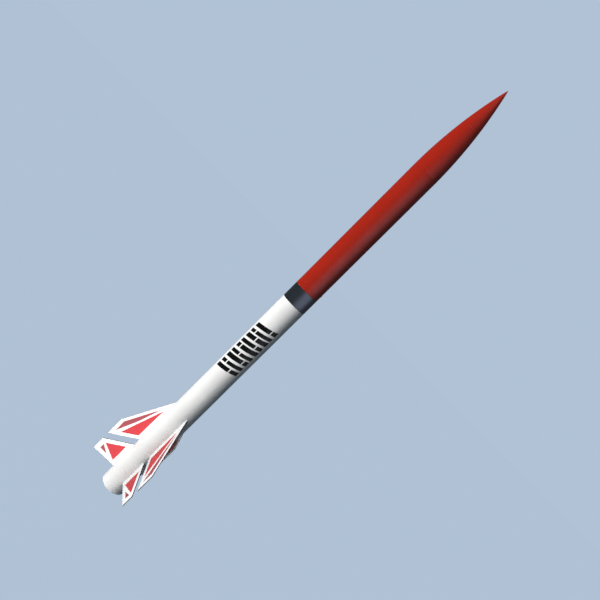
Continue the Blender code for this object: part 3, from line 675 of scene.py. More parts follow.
def lights(fin_pieces, ground):
    """The fins have a key light of their own, further round than the tubes' one. None lights the floor."""
    lamps = (
        softbox("sheen", 306, 0, 5.0, (7.0, 3.4), 230, (0.86, 0.89, 1.0), diffuse=False),
        softbox("back", 88, 10, 6.0, (2.4, 4.0), 300, (1.0, 0.99, 0.97), glossy=False),
        softbox("side", 165, 6, 6.0, (3.0, 4.0), 60, (0.93, 0.97, 1.0), glossy=False),
        softbox("top", 250, 82, 4.0, (3.0, 3.0), 45),
        softbox("under", 250, -80, 4.0, (3.0, 3.0), 45),
        softbox("key", 221, 4, 6.0, (4.6, 3.4), 435, (1.0, 0.98, 0.955), glossy=False),
    )
    for lamp in lamps:
        left_out = [ground, *fin_pieces] if lamp.name == "key" else [ground]
        lamp.light_linking.receiver_collection = light_group(lamp.name, left_out, "EXCLUDE")
    fin_key = softbox("fin_key", 258, 4, 6.0, (4.6, 3.4), 560, (1.0, 0.99, 0.98), glossy=False)
    fin_key.light_linking.receiver_collection = light_group("fin_key", fin_pieces, "INCLUDE")


BACKDROP = (0.44, 0.54, 0.67)
AMBIENT = (0.014, 0.031, 0.045)
AMBIENT_SHINE = (0.13, 0.14, 0.16)
FLOOR_REACH, FLOOR_HEIGHT = 60.0, -0.5
FLOOR_GLOW = 0.985  # its own faint shade makes up the rest of the backdrop's brightness


def world():
    """Pale backdrop for the camera, and a much dimmer even light on the object."""
    made = bpy.data.worlds.new("studio")
    made.use_nodes = True
    tree = made.node_tree
    tree.nodes.clear()
    path = tree.nodes.new("ShaderNodeLightPath")
    shown = None
    for colour, ray in ((AMBIENT, None), (AMBIENT_SHINE, "Is Glossy Ray"), (BACKDROP, "Is Camera Ray")):
        background = tree.nodes.new("ShaderNodeBackground")
        background.inputs["Color"].default_value = (*colour, 1)
        if ray is None:
            shown = background
            continue
        mix = tree.nodes.new("ShaderNodeMixShader")
        tree.links.new(path.outputs[ray], mix.inputs[0])
        tree.links.new(shown.outputs[0], mix.inputs[1])
        tree.links.new(background.outputs[0], mix.inputs[2])
        shown = mix
    output = tree.nodes.new("ShaderNodeOutputWorld")
    tree.links.new(shown.outputs[0], output.inputs[0])
    bpy.context.scene.world = made


def floor():
    """A wide pale floor, low enough for the motor to come out. It glows evenly and no lamp lights it."""
    square = ((-1, -1), (1, -1), (1, 1), (-1, 1))
    corners = [(x * FLOOR_REACH, y * FLOOR_REACH, FLOOR_HEIGHT) for x, y in square]
    mesh = bpy.data.meshes.new("floor")
    mesh.from_pydata(corners, [], [(0, 1, 2, 3)])
    made = in_scene("floor", mesh)
    s = Surface("pale_floor", roughness=0.9, specular_ior_level=0.0)
    s.set("Emission Color", (*BACKDROP, 1))
    s.set("Emission Strength", FLOOR_GLOW)
    mottle = s.spread(s.noise(1.3, 4.0))
    s.set("Base Color", s.blend(mottle, (0.030, 0.034, 0.040), (0.038, 0.043, 0.050)))
    made.data.materials.append(s.material)
    made.visible_diffuse = made.visible_glossy = made.visible_shadow = False
    bpy.context.scene.view_settings.view_transform = "Standard"
    return made


# ---------------------------------------------------------------- airframe


def slotted_tube():
    """The booster tube, with a slot through its wall for each fin tab. One skin covers both CAD sections."""
    bottom, top = span("booster_tube_aft")[0], span("booster_tube_forward")[1]
    half_slot = FIN_HALF_THICKNESS + SLOT_GAP
    slots = [(low - SLOT_GAP, high + SLOT_GAP) for low, high in FIN_TABS]
    heights = {bottom, bottom + EDGE, top - EDGE, top, *(edge for slot in slots for edge in slot)}
    heights.update(bottom + (top - bottom) * step / 24 for step in range(1, 24))
    heights = sorted(heights)
    per_degree = AIRFRAME_SIDES / 360
    slot_columns = {round(angle * per_degree): math.radians(angle) for angle in FIN_ANGLES}

    def heading(column, radius):
        for middle, angle in slot_columns.items():
            if abs(column - middle) == 1:
                return angle + (column - middle) * math.asin(half_slot / radius)
        return math.tau * column / AIRFRAME_SIDES

    def in_slot(level, column):
        low, high = heights[level], heights[level + 1]
        beside = any(column in (middle - 1, middle) for middle in slot_columns)
        return beside and any(slot[0] <= low and high <= slot[1] for slot in slots)

    verts = []
    for wall, sign in ((TUBE_OUTER, -1), (TUBE_INNER, 1)):
        for height in heights:
            at_end = height in (bottom, top)
            radius = wall + (sign * EDGE * 0.7 if at_end else 0)
            for column in range(AIRFRAME_SIDES):
                turn = heading(column, wall)
                verts.append((radius * math.cos(turn), radius * math.sin(turn), height))

    def vert(wall, level, column):
        return (wall * len(heights) + level) * AIRFRAME_SIDES + column % AIRFRAME_SIDES

    faces = []
    for level in range(len(heights) - 1):
        for column in range(AIRFRAME_SIDES):
            if in_slot(level, column):
                continue
            corners = ((level, column), (level, column + 1), (level + 1, column + 1), (level + 1, column))
            faces.append([vert(0, *corner) for corner in corners])
            faces.append([vert(1, *corner) for corner in reversed(corners)])
            beyond = (
                (level == 0 or in_slot(level - 1, column), corners[0], corners[1]),
                (in_slot(level, (column + 1) % AIRFRAME_SIDES), corners[1], corners[2]),
                (level == len(heights) - 2 or in_slot(level + 1, column), corners[2], corners[3]),
                (in_slot(level, (column - 1) % AIRFRAME_SIDES), corners[3], corners[0]),
            )
            for is_open, start, end in beyond:
                if is_open:
                    faces.append([vert(0, *start), vert(0, *end), vert(1, *end), vert(1, *start)])
    made = meshed("booster_tube_finished", verts, faces, "white_paint", "wound")
    bare_inside(made)
    return stand_in(made, "booster_tube_aft", "booster_tube_forward")


def bare_inside(obj):
    """Gives the second material to the faces that look at the axis."""
    for face in obj.data.polygons:
        centre = Vector((face.center.x, face.center.y, 0))
        if centre.length < TUBE_INNER + 0.3 * MM and face.normal.dot(centre) < 0:
            face.material_index = 1


def hole_cutters(radius, angles, height, sides):
    """Cutters through the airframe's wall."""
    reach = (44 * MM, 56 * MM)
    return [radial(cylinder(radius, *reach, sides), angle, height) for angle in angles]


def band_holes():
    """The switch's hole and the vents."""
    switch = hole_cutters(6.2 * MM, (SWITCH_ANGLE,), SWITCH_HEIGHT, 48)
    return switch + hole_cutters(1.6 * MM, VENT_ANGLES, SWITCH_HEIGHT, 24)


def rivet_holes():
    return hole_cutters(2.5 * MM, RIVET_ANGLES, RIVET_HEIGHT, 24)


def band_and_payload():
    for node, look, levels, holes in (
        ("switch_band", "black_paint", 4, band_holes), ("payload_tube", "red_paint", 18, rivet_holes),
    ):
        outline = ring_outline(TUBE_OUTER, TUBE_INNER, *span(node), EDGE, levels)
        made = turned(node, outline, AIRFRAME_SIDES, look, "wound")
        bare_inside(drilled(made, holes(), look, "wound"))


def ogive_radius(height):
    return math.sqrt(OGIVE_CIRCLE**2 - height**2) + TUBE_OUTER - OGIVE_CIRCLE


def nose_cone():
    """Tangent ogive with a rounded point, a straight socket inside and an even wall."""
    base = span("nose_cone")[0]
    tip_centre = math.sqrt((OGIVE_CIRCLE - NOSE_TIP_RADIUS) ** 2 - (OGIVE_CIRCLE - TUBE_OUTER) ** 2)
    meeting = tip_centre * OGIVE_CIRCLE / (OGIVE_CIRCLE - NOSE_TIP_RADIUS)
    start = math.asin((meeting - tip_centre) / NOSE_TIP_RADIUS)
    outline = [(0, base + tip_centre + NOSE_TIP_RADIUS)]
    for step in range(7, 0, -1):
        turn = start + (math.pi / 2 - start) * step / 8
        outline.append((NOSE_TIP_RADIUS * math.cos(turn), base + tip_centre + NOSE_TIP_RADIUS * math.sin(turn)))
    steps = 72
    for step in range(steps, 0, -1):
        height = meeting * step / steps
        outline.append((ogive_radius(height), base + height))
    outline += [(TUBE_OUTER, base + EDGE), (TUBE_OUTER - EDGE * 0.7, base)]
    outline += [(TUBE_INNER + EDGE * 0.5, base), (TUBE_INNER, base + EDGE), (TUBE_INNER, base + NOSE_SOCKET)]
    inside_top = OGIVE_LENGTH - 60 * MM
    inside_steps = 40
    for step in range(inside_steps + 1):
        height = NOSE_SOCKET + MM + (inside_top - NOSE_SOCKET) * step / inside_steps
        outline.append((ogive_radius(height) - NOSE_WALL, base + height))
    outline.append((0, base + inside_top + 2 * MM))
    made = turned("nose_cone", outline, AIRFRAME_SIDES, "red_paint", "wound")
    for face in made.data.polygons:
        outward = Vector((face.center.x, face.center.y, 0)).dot(face.normal)
        if outward < 0 and face.center.z > base + EDGE:
            face.material_index = 1


def fins():
    """Flat fins with softened edges, and their rim painted near-black as painted shade."""
    pieces = []
    for number, angle in enumerate(FIN_ANGLES, start=1):
        heading = math.radians(angle)
        flat = Vector((-math.sin(heading), math.cos(heading), 0))
        for kind in ("forward", "aft"):
            node = f"{kind}_fin_{number}"
            made = from_bmesh(f"{node}_finished", refined(node, 0.45 * MM), "fin_paint", "fin_edge")
            # The edge faces take the near-black paint: painted shade along the fin's rim
            for face in made.data.polygons:
                reach = Vector((face.center.x, face.center.y, 0)).length
                if abs(face.normal.dot(flat)) < 0.97 and reach > TUBE_OUTER + 0.5 * MM:
                    face.material_index = 1
            pieces.append(stand_in(made, node))
            fin_fillets(node, angle)
            pieces.append(fin_panels(node, kind, angle))
    return pieces


def fin_fillets(node, angle):
    """Two concave strips of filler where the fin meets the tube."""
    low, high = FIN_ROOTS[node.split("_")[0]]
    sunk = 0.15 * MM
    steps, arc = 28, 7
    verts, faces = [], []
    for side in (1, -1):
        first = len(verts)
        for step in range(steps + 1):
            share = step / steps
            height = low + (high - low) * share
            size = FILLET * min(1.0, 0.18 + 5.0 * min(share, 1 - share) ** 0.7)
            corner = Vector((math.sqrt(TUBE_OUTER**2 - FIN_HALF_THICKNESS**2), FIN_HALF_THICKNESS))
            on_fin = corner + Vector((size, 0))
            across = FIN_HALF_THICKNESS + size
            on_tube = Vector((math.sqrt(TUBE_OUTER**2 - across**2), across))
            section = []
            for bend in range(arc + 1):
                t = bend / arc
                section.append(on_fin.lerp(corner, t).lerp(corner.lerp(on_tube, t), t))
            section.append(on_tube - Vector((sunk, 0)))
            section.append(corner - Vector((sunk, sunk)))
            section.append(on_fin - Vector((0, sunk)))
            verts += [Vector((point.x, side * point.y, height)) for point in section]
        faces += skin(arc + 4, steps + 1, first)
    turn = Matrix.Rotation(math.radians(angle), 3, "Z")
    made = meshed(f"{node}_fillets", [turn @ vert for vert in verts], faces, "fin_paint")
    added(made, "booster", "fin_paint")


def fin_panels(node, kind, angle):
    """Red film on both faces of a fin."""
    low, high = (FIN_HALF_THICKNESS + level for level in FILM)
    bm = bmesh.new()
    for index, outline in enumerate(FIN_PANELS[kind]):
        for side in (1, -1):
            base = [bm.verts.new((r * MM, side * low, z * MM)) for z, r in outline]
            lid = [bm.verts.new((r * MM, side * high, z * MM)) for z, r in outline]
            count = len(outline)
            made = [bm.faces.new(base), bm.faces.new(lid)]
            for corner in range(count):
                following = (corner + 1) % count
                made.append(bm.faces.new((base[corner], base[following], lid[following], lid[corner])))
            for face in made:
                face.material_index = index
    bmesh.ops.rotate(bm, matrix=Matrix.Rotation(math.radians(angle), 3, "Z"), verts=bm.verts)
    panels = from_bmesh(f"{node}_panels", bm, "panel_bright", "panel_dull")
    return added(panels, "booster", "fin_paint")


def side_graphic():
    """Leaning black bars with stencil breaks along one side of the booster, of film on the paint."""
    low, high = (TUBE_OUTER + level for level in FILM)
    bottom, pitch, lean = 627 * MM, 25.4 * MM, 22 * MM
    start_angle, end_angle, break_angle = 209, 314, 5
    # Each bar's width in millimetres, and where its breaks are, in degrees
    bars = (
        (17, (276,)), (15, (240,)), (19, (292,)), (15, (256,)), (19, (234,)), (16, (284,)), (19, (262,)),
        (15, (238,)), (18, (288,)),
    )
    verts, faces = [], []
    for number, (width, breaks) in enumerate(bars):
        starts = (start_angle, *(angle + break_angle / 2 for angle in breaks))
        ends = (*(angle - break_angle / 2 for angle in breaks), end_angle)
        for start, end in zip(starts, ends):
            steps = max(3, round((end - start) / 3))
            first = len(verts)
            for radius in (low, high):
                for step in range(steps + 1):
                    azimuth = start + (end - start) * step / steps
                    rise = lean * (azimuth - start_angle) / (end_angle - start_angle)
                    turn = math.radians(azimuth)
                    for edge in (0, 1):
                        height = bottom + number * pitch + rise + edge * width * MM
                        verts.append((radius * math.cos(turn), radius * math.sin(turn), height))
            layer = 2 * (steps + 1)
            for step in range(steps):
                a = first + 2 * step
                faces.append([a, a + 2, a + 3, a + 1])
                faces.append([a + layer, a + layer + 1, a + layer + 3, a + layer + 2])
                for edge in (0, 1):
                    faces.append([a + edge, a + 2 + edge, a + layer + 2 + edge, a + layer + edge])
            for a in (first, first + 2 * steps):
                faces.append([a, a + 1, a + layer + 1, a + layer])
    made = meshed("side_graphic", verts, faces, "panel_black")
    added(made, "booster", "black_paint")


def rail_guides():
    for node in ("rail_guide_aft", "rail_guide_forward"):
        stand_in(from_bmesh(f"{node}_finished", refined(node, 0.5 * MM), "guide_plastic"), node)


# ---------------------------------------------------------------- motor mount and motor


def hex_shape(across_corners, bottom, top, bore):
    """Radius of a chamfered hexagon; the bore stays round."""
    flat = across_corners * math.cos(math.pi / 6)

    def shape(radius, height, heading):
        if radius < (bore + flat) / 2:
            return radius
        within = (heading + math.pi / 6) % (math.pi / 3) - math.pi / 6
        chamfer = across_corners - 0.55 * MM + 1.7 * min(height - bottom, top - height)
        return min(flat / math.cos(within), chamfer)

    return shape


def nut(node):
    bottom, top = span(node)
    corners, bore, rise = 6.4 * MM, 3.15 * MM, 0.35 * MM
    outline = [
        (bore + 0.3 * MM, bottom), (corners, bottom), (corners, bottom + rise), (corners, top - rise),
        (corners, top), (bore + 0.3 * MM, top), (bore, top - rise), (bore, bottom + rise),
    ]
    shape = hex_shape(corners, bottom, top, bore)
    turned(node, outline, 60, "zinc_steel", centre=middle(node)[:2], shape=shape)


def thread_outline(radius, bottom, top, pitch=1.25 * MM, depth=0.38 * MM):
    """Side of a threaded rod, from bottom to top, with a small chamfer at each end."""
    points = [(0, bottom), (radius - 2 * depth, bottom)]
    height = bottom + pitch / 2
    while height < top - pitch:
        points += [(radius, height), (radius, height + 0.15 * pitch), (radius - depth, height + 0.55 * pitch)]
        height += pitch
    points += [(radius, top - pitch / 2), (radius - 2 * depth, top), (0, top)]
    return points


def eye_bolt(node):
    """A forged ring on a threaded shank. The ring is at the end away from the nut."""
    low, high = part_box(node)
    ring_radius, wire, shank = 9.5 * MM, 3.0 * MM, 3.0 * MM
    x, _, z = middle(node)
    points_up = middle(node.replace("eye_bolt", "eye_nut"))[2] < z
    sign, far, end = (1, high.z, low.z) if points_up else (-1, low.z, high.z)
    eye = far - sign * ring_radius - sign * wire
    neck = eye - sign * ring_radius
    turns = [math.tau * step / 56 for step in range(56)]
    path = [(x, ring_radius * math.sin(turn), eye + ring_radius * math.cos(turn)) for turn in turns]
    ring = swept(f"{node}_finished", path, wire, 20, "zinc_steel", closed=True)
    collar_end = neck - sign * 5 * MM
    smooth = lathe("neck", plug(shank, *sorted((neck, collar_end))), 28, centre=(x, 0))
    threaded = sorted((collar_end + sign * 0.2 * MM, end))
    screw = lathe("screw", thread_outline(shank - 0.03 * MM, *threaded), 28, centre=(x, 0))
    combined(ring, smooth, "UNION")
    combined(ring, screw, "UNION", "zinc_steel")
    stand_in(ring, node)


def motor_mount():
    outline = ring_outline(28.9 * MM, 27.35 * MM, *span("motor_mount_tube"), 0.3 * MM, 8)
    turned("motor_mount_tube", outline, MOTOR_SIDES, "wound")
    for name in ("aft", "middle", "forward"):
        node = f"{name}_centering_ring"
        bottom, top = span(node)
        outline = ring_outline(COUPLER_OUTER, 29.2 * MM, bottom, top, 0.25 * MM)
        ring = turned(node, outline, AIRFRAME_SIDES, "fibreglass")
        if name == "forward":
            hole = cylinder(3.5 * MM, bottom - MM, top + MM, 32, (middle("booster_eye_bolt")[0], 0))
            combined(ring, hole, "DIFFERENCE", "fibreglass")
    collar = metres([
        (33.0, 36.0), (33.0, 16.0), (27.7, 16.0), (27.7, 21.7), (29.2, 21.7), (29.2, 42.0), (36.5, 42.0),
        (36.5, 36.0),
    ])
    turned("motor_retainer_body", rounded(collar, 0.5 * MM), MOTOR_SIDES, "black_anodised")


def retainer_cap():
    """Screw cap with twelve finger grips."""
    grips, grip_radius, grip_depth = 12, 5.0 * MM, 1.6 * MM
    outer, grip_top = 37.0 * MM, 26.5 * MM
    centre = outer + grip_radius - grip_depth

    def shape(radius, height, heading):
        if radius < outer - 1.2 * MM or height > grip_top + 0.6 * MM:
            return radius
        offset = (heading % (math.tau / grips)) - math.pi / grips
        reach = centre * math.sin(offset)
        if abs(reach) >= grip_radius:
            return radius
        scoop = centre * math.cos(offset) - math.sqrt(grip_radius**2 - reach**2)
        fade = min(1.0, max(0.0, (grip_top + 0.6 * MM - height) / (1.2 * MM)))
        return min(radius, radius + (scoop - radius) * fade)

    side = [(37.0, height) for height in (34.5, 30.0, 27.2, 26.8, 26.4, 25.8, 5.5)]
    outline = metres([*side, (24.5, 5.5), (24.5, 9.7), (33.3, 9.7), (33.3, 34.5)])
    turned("motor_retainer_cap", rounded(outline, 0.8 * MM), 288, "black_anodised", shape=shape)


def spanner_holes(radius, offset, bottom, top, count):
    return [
        cylinder(radius, bottom, top, 24, (offset * math.cos(turn), offset * math.sin(turn)))
        for turn in (math.tau * step / count for step in range(count))
    ]


def motor():
    """Case, closures, nozzle, liner and grains."""
    def part(node, points, look, edge=0.4):
        return turned(node, rounded(metres(points), edge * MM), MOTOR_SIDES, look)

    case = [
        (27.0, 366.0), (27.0, 362.0), (26.7, 361.6), (26.7, 360.9), (27.0, 360.5), (27.0, 21.5), (26.7, 21.1),
        (26.7, 20.4), (27.0, 20.0), (27.0, 16.0), (24.2, 16.0), (24.2, 366.0),
    ]
    part("motor_case", case, "red_anodised", 0.25)
    aft = [(29.6, 15.7), (29.6, 10.0), (20.5, 10.0), (16.6, 12.2), (16.6, 38.0), (23.9, 38.0), (23.9, 15.7)]
    aft_closure = part("motor_aft_closure", aft, "black_anodised")
    drilled(aft_closure, spanner_holes(1.7 * MM, 22.6 * MM, 9 * MM, 13 * MM, 4), "black_anodised")
    forward = [
        (0, 376.0), (5.0, 376.0), (6.0, 375.0), (17.0, 375.0), (18.0, 376.0), (27.0, 376.0), (27.0, 366.3),
        (23.9, 366.3), (23.9, 344.0), (0, 344.0),
    ]
    forward_closure = part("motor_forward_closure", forward, "black_anodised")
    drilled(forward_closure, spanner_holes(2.0 * MM, 22.5 * MM, 372 * MM, 377 * MM, 2), "black_anodised")
    nozzle = [
        (21.6, 60.0), (21.6, 38.8), (16.2, 38.8), (16.2, 8.0), (12.5, 8.0), (10.9, 14.0), (9.2, 22.0),
        (7.4, 31.0), (5.9, 38.5), (5.0, 43.0), (5.0, 46.0), (6.2, 50.0), (9.0, 55.0), (12.5, 60.0),
    ]
    part("motor_nozzle", nozzle, "graphite", 0.6)
    part("motor_liner", [(23.8, 343.6), (23.8, 38.4), (22.0, 38.4), (22.0, 343.6)], "phenolic", 0.2)
    for number in range(1, 4):
        node = f"propellant_grain_{number}"
        bottom, top = (height / MM for height in span(node))
        part(node, [(21.6, top), (21.6, bottom), (7.0, bottom), (7.0, top)], "propellant", 0.8)


# ---------------------------------------------------------------- electronics bay


RODS = (-33 * MM, 33 * MM)


def coupler(node, holes=()):
    outline = ring_outline(COUPLER_OUTER, COUPLER_INNER, *span(node), 0.35 * MM, 8)
    made = turned(node, outline, AIRFRAME_SIDES, "wound")
    if holes:
        drilled(made, holes, "wound")


def plate(node, outward, hole_places):
    """A bulkplate. One that closes the bay, outward 1 or -1, has a step that centres it in the coupler."""
    bottom, top = span(node)
    step_radius = COUPLER_INNER - 0.3 * MM
    points = [(0, top), (step_radius, top), (step_radius, bottom), (0, bottom)]
    if outward:
        face, inner = (top, bottom) if outward > 0 else (bottom, top)
        seat = face - outward * 3.2 * MM
        points = [
            (0, face), (COUPLER_OUTER, face), (COUPLER_OUTER, seat), (step_radius, seat), (step_radius, inner),
            (0, inner),
        ]
    made = turned(node, rounded(points, 0.3 * MM), AIRFRAME_SIDES, "fibreglass")
    holes = [cylinder(3.5 * MM, bottom - MM, top + MM, 32, (x, 0)) for x in hole_places]
    drilled(made, holes, "fibreglass")


def charge_cup(node):
    bottom, top = span(node)
    base, mouth, sign = (bottom, top, 1) if bottom > SWITCH_HEIGHT else (top, bottom, -1)
    outer, inner, waist = 9.0 * MM, 7.4 * MM, 8.5 * MM
    points = [
        (0, base + sign * 2 * MM), (inner, base + sign * 2 * MM), (inner, mouth), (outer, mouth),
        (outer, mouth - sign * 2.5 * MM), (waist, mouth - sign * 3.2 * MM),
        (waist, base + sign * 3.2 * MM), (outer, base + sign * 2.5 * MM), (outer, base), (0, base),
    ]
    turned(node, rounded(points, 0.35 * MM), 64, "aluminium", centre=middle(node)[:2])


def sled():
    """Plywood board on two sleeves, with lightening holes beside the battery."""
    bottom, top = span("avionics_sled")
    size = (59 * MM, 3 * MM, top - bottom)
    board = block("avionics_sled_finished", size, (0, 0, (bottom + top) / 2), 0.3 * MM)
    for x in RODS:
        outline = ring_outline(5.6 * MM, 3.5 * MM, bottom, top, 0.3 * MM, 2)
        combined(board, lathe("sleeve", outline, SMALL_SIDES, centre=(x, 0)), "UNION")
    holes = [
        facing(cylinder(3.2 * MM, -4 * MM, 4 * MM, 32), x * MM, 0, SWITCH_HEIGHT + height * MM)
        for x, height in ((-22, -100), (22, -100), (-22, 8), (22, 8))
    ]
    stand_in(drilled(board, holes, "sled_plywood"), "avionics_sled")


def altimeter():
    """Circuit board with its chips, pressure sensor, buzzer, capacitor and screw terminals."""
    low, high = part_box("altimeter")
    width, back, thickness = high.x - low.x, high.y, 1.6 * MM
    face = back - thickness
    centre = (low.z + high.z) / 2
    size = (width, thickness, high.z - low.z)
    place = (0, back - thickness / 2, centre)
    board = block("altimeter_finished", size, place, 0.15 * MM, "circuit_board")
    inset = 3 * MM
    sides, ends = (-width / 2 + inset, width / 2 - inset), (low.z + inset, high.z - inset)
    corners = [(x, z) for x in sides for z in ends]
    holes = [facing(cylinder(1.4 * MM, -4 * MM, 4 * MM, 24), x, back, height) for x, height in corners]
    stand_in(drilled(board, holes, "circuit_board"), "altimeter")

    def detail(name, shapes, look, slot):
        added(joined(f"altimeter_{name}", shapes, look), "upper", slot)

    def chip(size, x, z):
        wide, deep, tall = (side * MM for side in size)
        return block("chip", (wide, deep, tall), (x * MM, face - deep / 2, centre + z * MM), 0.3 * MM)

    def terminal(x):
        body = chip((5.4, 8.0, 8.0), x, 37)
        mouth = block("mouth", (3.2 * MM, 4 * MM, 4 * MM), (x * MM, face - 4 * MM, centre + 42 * MM), 0)
        return combined(body, mouth, "DIFFERENCE")

    def screw(x):
        made = lathe("screw", plug(1.7 * MM, 0, 0.6 * MM, 0.15 * MM), 24)
        slot = block("slot", (0.5 * MM, 5 * MM, 0.6 * MM), (0, 0, 0.6 * MM), 0)
        return facing(combined(made, slot, "DIFFERENCE"), x * MM, face - 7.9 * MM, centre + 36 * MM)

    def can(x, z, radius, tall):
        made = lathe("can", plug(radius * MM, 0, tall * MM, 0.4 * MM), SMALL_SIDES)
        return facing(made, x * MM, face, centre + z * MM)

    chips = [
        chip((9, 1.6, 9), -5, 8), chip((5, 1.4, 4), 8, 10), chip((5, 1.2, 6), 7, -2), chip((3, 1.0, 3), -9, -6),
    ]
    detail("chips", chips, "chip", "switch_plastic")
    places = [-11.6 + 5.8 * number for number in range(5)]
    detail("terminals", [terminal(x) for x in places], "terminal", "switch_plastic")
    detail("screws", [screw(x) for x in places], "zinc_steel", "zinc_steel")
    cans = [can(-5, -36, 5.0, 6.5), can(8, -30, 3.2, 7.0), can(7, -18, 1.9, 0.9)]
    detail("cans", cans, "aluminium", "aluminium")


def battery():
    low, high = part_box("battery")
    size, centre = high - low, (high + low) / 2
    tall = size.z - 2.6 * MM
    place = (0, centre.y, low.z + tall / 2)
    stand_in(block("battery_finished", (size.x, size.y, tall), place, 1.4 * MM, "battery_case"), "battery")
    base, seat = low.z + tall - 0.2 * MM, high.z - 1.4 * MM
    posts = []
    for x, radius in ((-6.3 * MM, 2.9 * MM), (6.3 * MM, 3.9 * MM)):
        rim = radius - 0.8 * MM
        points = [(0, base), (radius, base), (radius, high.z), (rim, high.z), (rim, seat), (0, seat)]
        posts.append(lathe("post", rounded(points, 0.2 * MM), 36, centre=(x, centre.y)))
    added(joined("battery_terminals", posts, "zinc_steel"), "upper", "zinc_steel")


def arming_switch():
    """Switch body behind the band's hole, and the slotted rotor that a screwdriver turns."""
    def placed(shape):
        return radial(shape, SWITCH_ANGLE, SWITCH_HEIGHT)

    outline = plug(5.6 * MM, 37.0 * MM, 49.2 * MM, 0.3 * MM)
    body = placed(lathe("arming_switch_body_finished", outline, 48))
    combined(body, placed(block("base", (14 * MM, 14 * MM, 13 * MM), (0, 0, 37.5 * MM), 0.8 * MM)), "UNION")
    combined(body, placed(cylinder(4.0 * MM, 39.7 * MM, 51.1 * MM, 48)), "DIFFERENCE", "switch_plastic")
    stand_in(body, "arming_switch_body")
    looks = ("brass", "switch_plastic")
    rotor = turned("arming_switch_rotor", plug(3.6 * MM, 40.0 * MM, 49.6 * MM, 0.35 * MM), 48, *looks)
    slot = block("slot", (1.2 * MM, 12 * MM, 3 * MM), (0, 0, 49.6 * MM), 0, *looks)
    for face in slot.data.polygons:
        face.material_index = 1  # painted shade: the slot's walls and floor take black plastic
    placed(combined(rotor, slot, "DIFFERENCE", *looks))


def rivets():
    """Push rivets with low domed heads."""
    head, seat, crown = 3.6 * MM, TUBE_OUTER + 0.1 * MM, TUBE_OUTER + 1.2 * MM
    outline = [(0, 46.2 * MM), (1.7 * MM, 46.2 * MM), (2.2 * MM, 46.9 * MM), (2.2 * MM, seat), (head, seat)]
    for step in range(6):
        turn = math.pi / 2 * step / 6
        outline.append((head * math.cos(turn), seat + 0.25 * MM + (crown - seat - 0.25 * MM) * math.sin(turn)))
    outline.append((0, crown))
    for number, angle in enumerate(RIVET_ANGLES, start=1):
        radial(turned(f"payload_rivet_{number}", outline, SMALL_SIDES, "red_plastic"), angle, RIVET_HEIGHT)


def electronics_bay():
    coupler("avbay_coupler", band_holes() + rivet_holes())
    plate("avbay_aft_bulkplate", -1, (0, *RODS))
    plate("avbay_forward_bulkplate", 1, (0, *RODS))
    for number, x in enumerate(RODS, start=1):
        node = f"threaded_rod_{number}"
        turned(node, thread_outline(3.0 * MM, *span(node)), 24, "zinc_steel", centre=(x, 0))
    for node in SLOT:
        if "_nut" in node:
            nut(node)
        elif "eye_bolt" in node:
            eye_bolt(node)
        elif "charge_cup" in node:
            charge_cup(node)
    sled()
    altimeter()
    battery()
    arming_switch()
    rivets()
    coupler("nose_coupler")
    plate("nose_bulkplate", 0, (0,))


# ---------------------------------------------------------------- recovery gear


CLOTH_FRAMES = 16
CLOTH_REACH = 6 * MM  # the furthest that the simulation may move a point


def room(node):
    """Radius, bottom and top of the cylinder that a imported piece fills."""
    low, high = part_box(node)
    return (high.x - low.x) / 2, low.z, high.z


def parachute(node, seed):
    """A canopy rolled into a bundle and held by its own lines, wound round its middle."""
    radius, bottom, top = room(node)
    length = top - bottom
    waist_low, waist_high = bottom + 0.40 * length, bottom + 0.60 * length
    rng = random.Random(seed)
    phases = [(rng.uniform(0, math.tau), rng.uniform(-1, 1)) for _ in range(4)]
    levels, sides = 44, 96
    verts = []
    for level in range(levels + 1):
        share = level / levels
        height = bottom + length * (0.02 + 0.96 * share)
        from_end = min(share, 1 - share)
        end_round = min(1.0, from_end / 0.10)
        full = math.sqrt(max(0.0, 1 - (1 - end_round) ** 2)) * 0.35 + 0.65 if end_round < 1 else 1.0
        waist = math.exp(-(((share - 0.5) / 0.14) ** 4))
        for side in range(sides):
            heading = math.tau * side / sides
            folds = sum(
                math.sin(count * heading + phase + twist * 3 * share)
                for count, (phase, twist) in zip((5, 9, 14, 23), phases)
            ) / 4
            reach = radius * (0.90 * full - 0.10 * waist + 0.035 * folds)
            verts.append((reach * math.cos(heading), reach * math.sin(heading), height))
    faces = skin(sides, levels + 1, ends=False)
    for end, sign in ((0, -1), (levels, 1)):
        ring = inner = list(range(end * sides, (end + 1) * sides))
        for shrink in (0.75, 0.5, 0.25):
            fresh = list(range(len(verts), len(verts) + sides))
            for side in range(sides):
                x, y, z = verts[ring[side]]
                swirl = 0.02 * length * math.sin(3 * math.tau * side / sides + 9 * shrink) * shrink
                rise = 0.012 * length * (1 - shrink)
                verts.append((x * shrink, y * shrink, z + sign * rise - sign * abs(swirl)))
                following = (side + 1) % sides
                faces.append([inner[side], inner[following], fresh[following], fresh[side]])
            inner = fresh
        faces.append(inner)
    made = meshed(f"{node}_finished", verts, faces, SLOT[node])
    billow(made, waist_low, waist_high)
    clamp_to(made, radius - 0.4 * MM, bottom + 0.4 * MM, top - 0.4 * MM)
    smooth = made.modifiers.new("smooth", "SUBSURF")
    smooth.levels = smooth.render_levels = 1
    stand_in(made, node)
    lines(node, made, waist_low, waist_high)


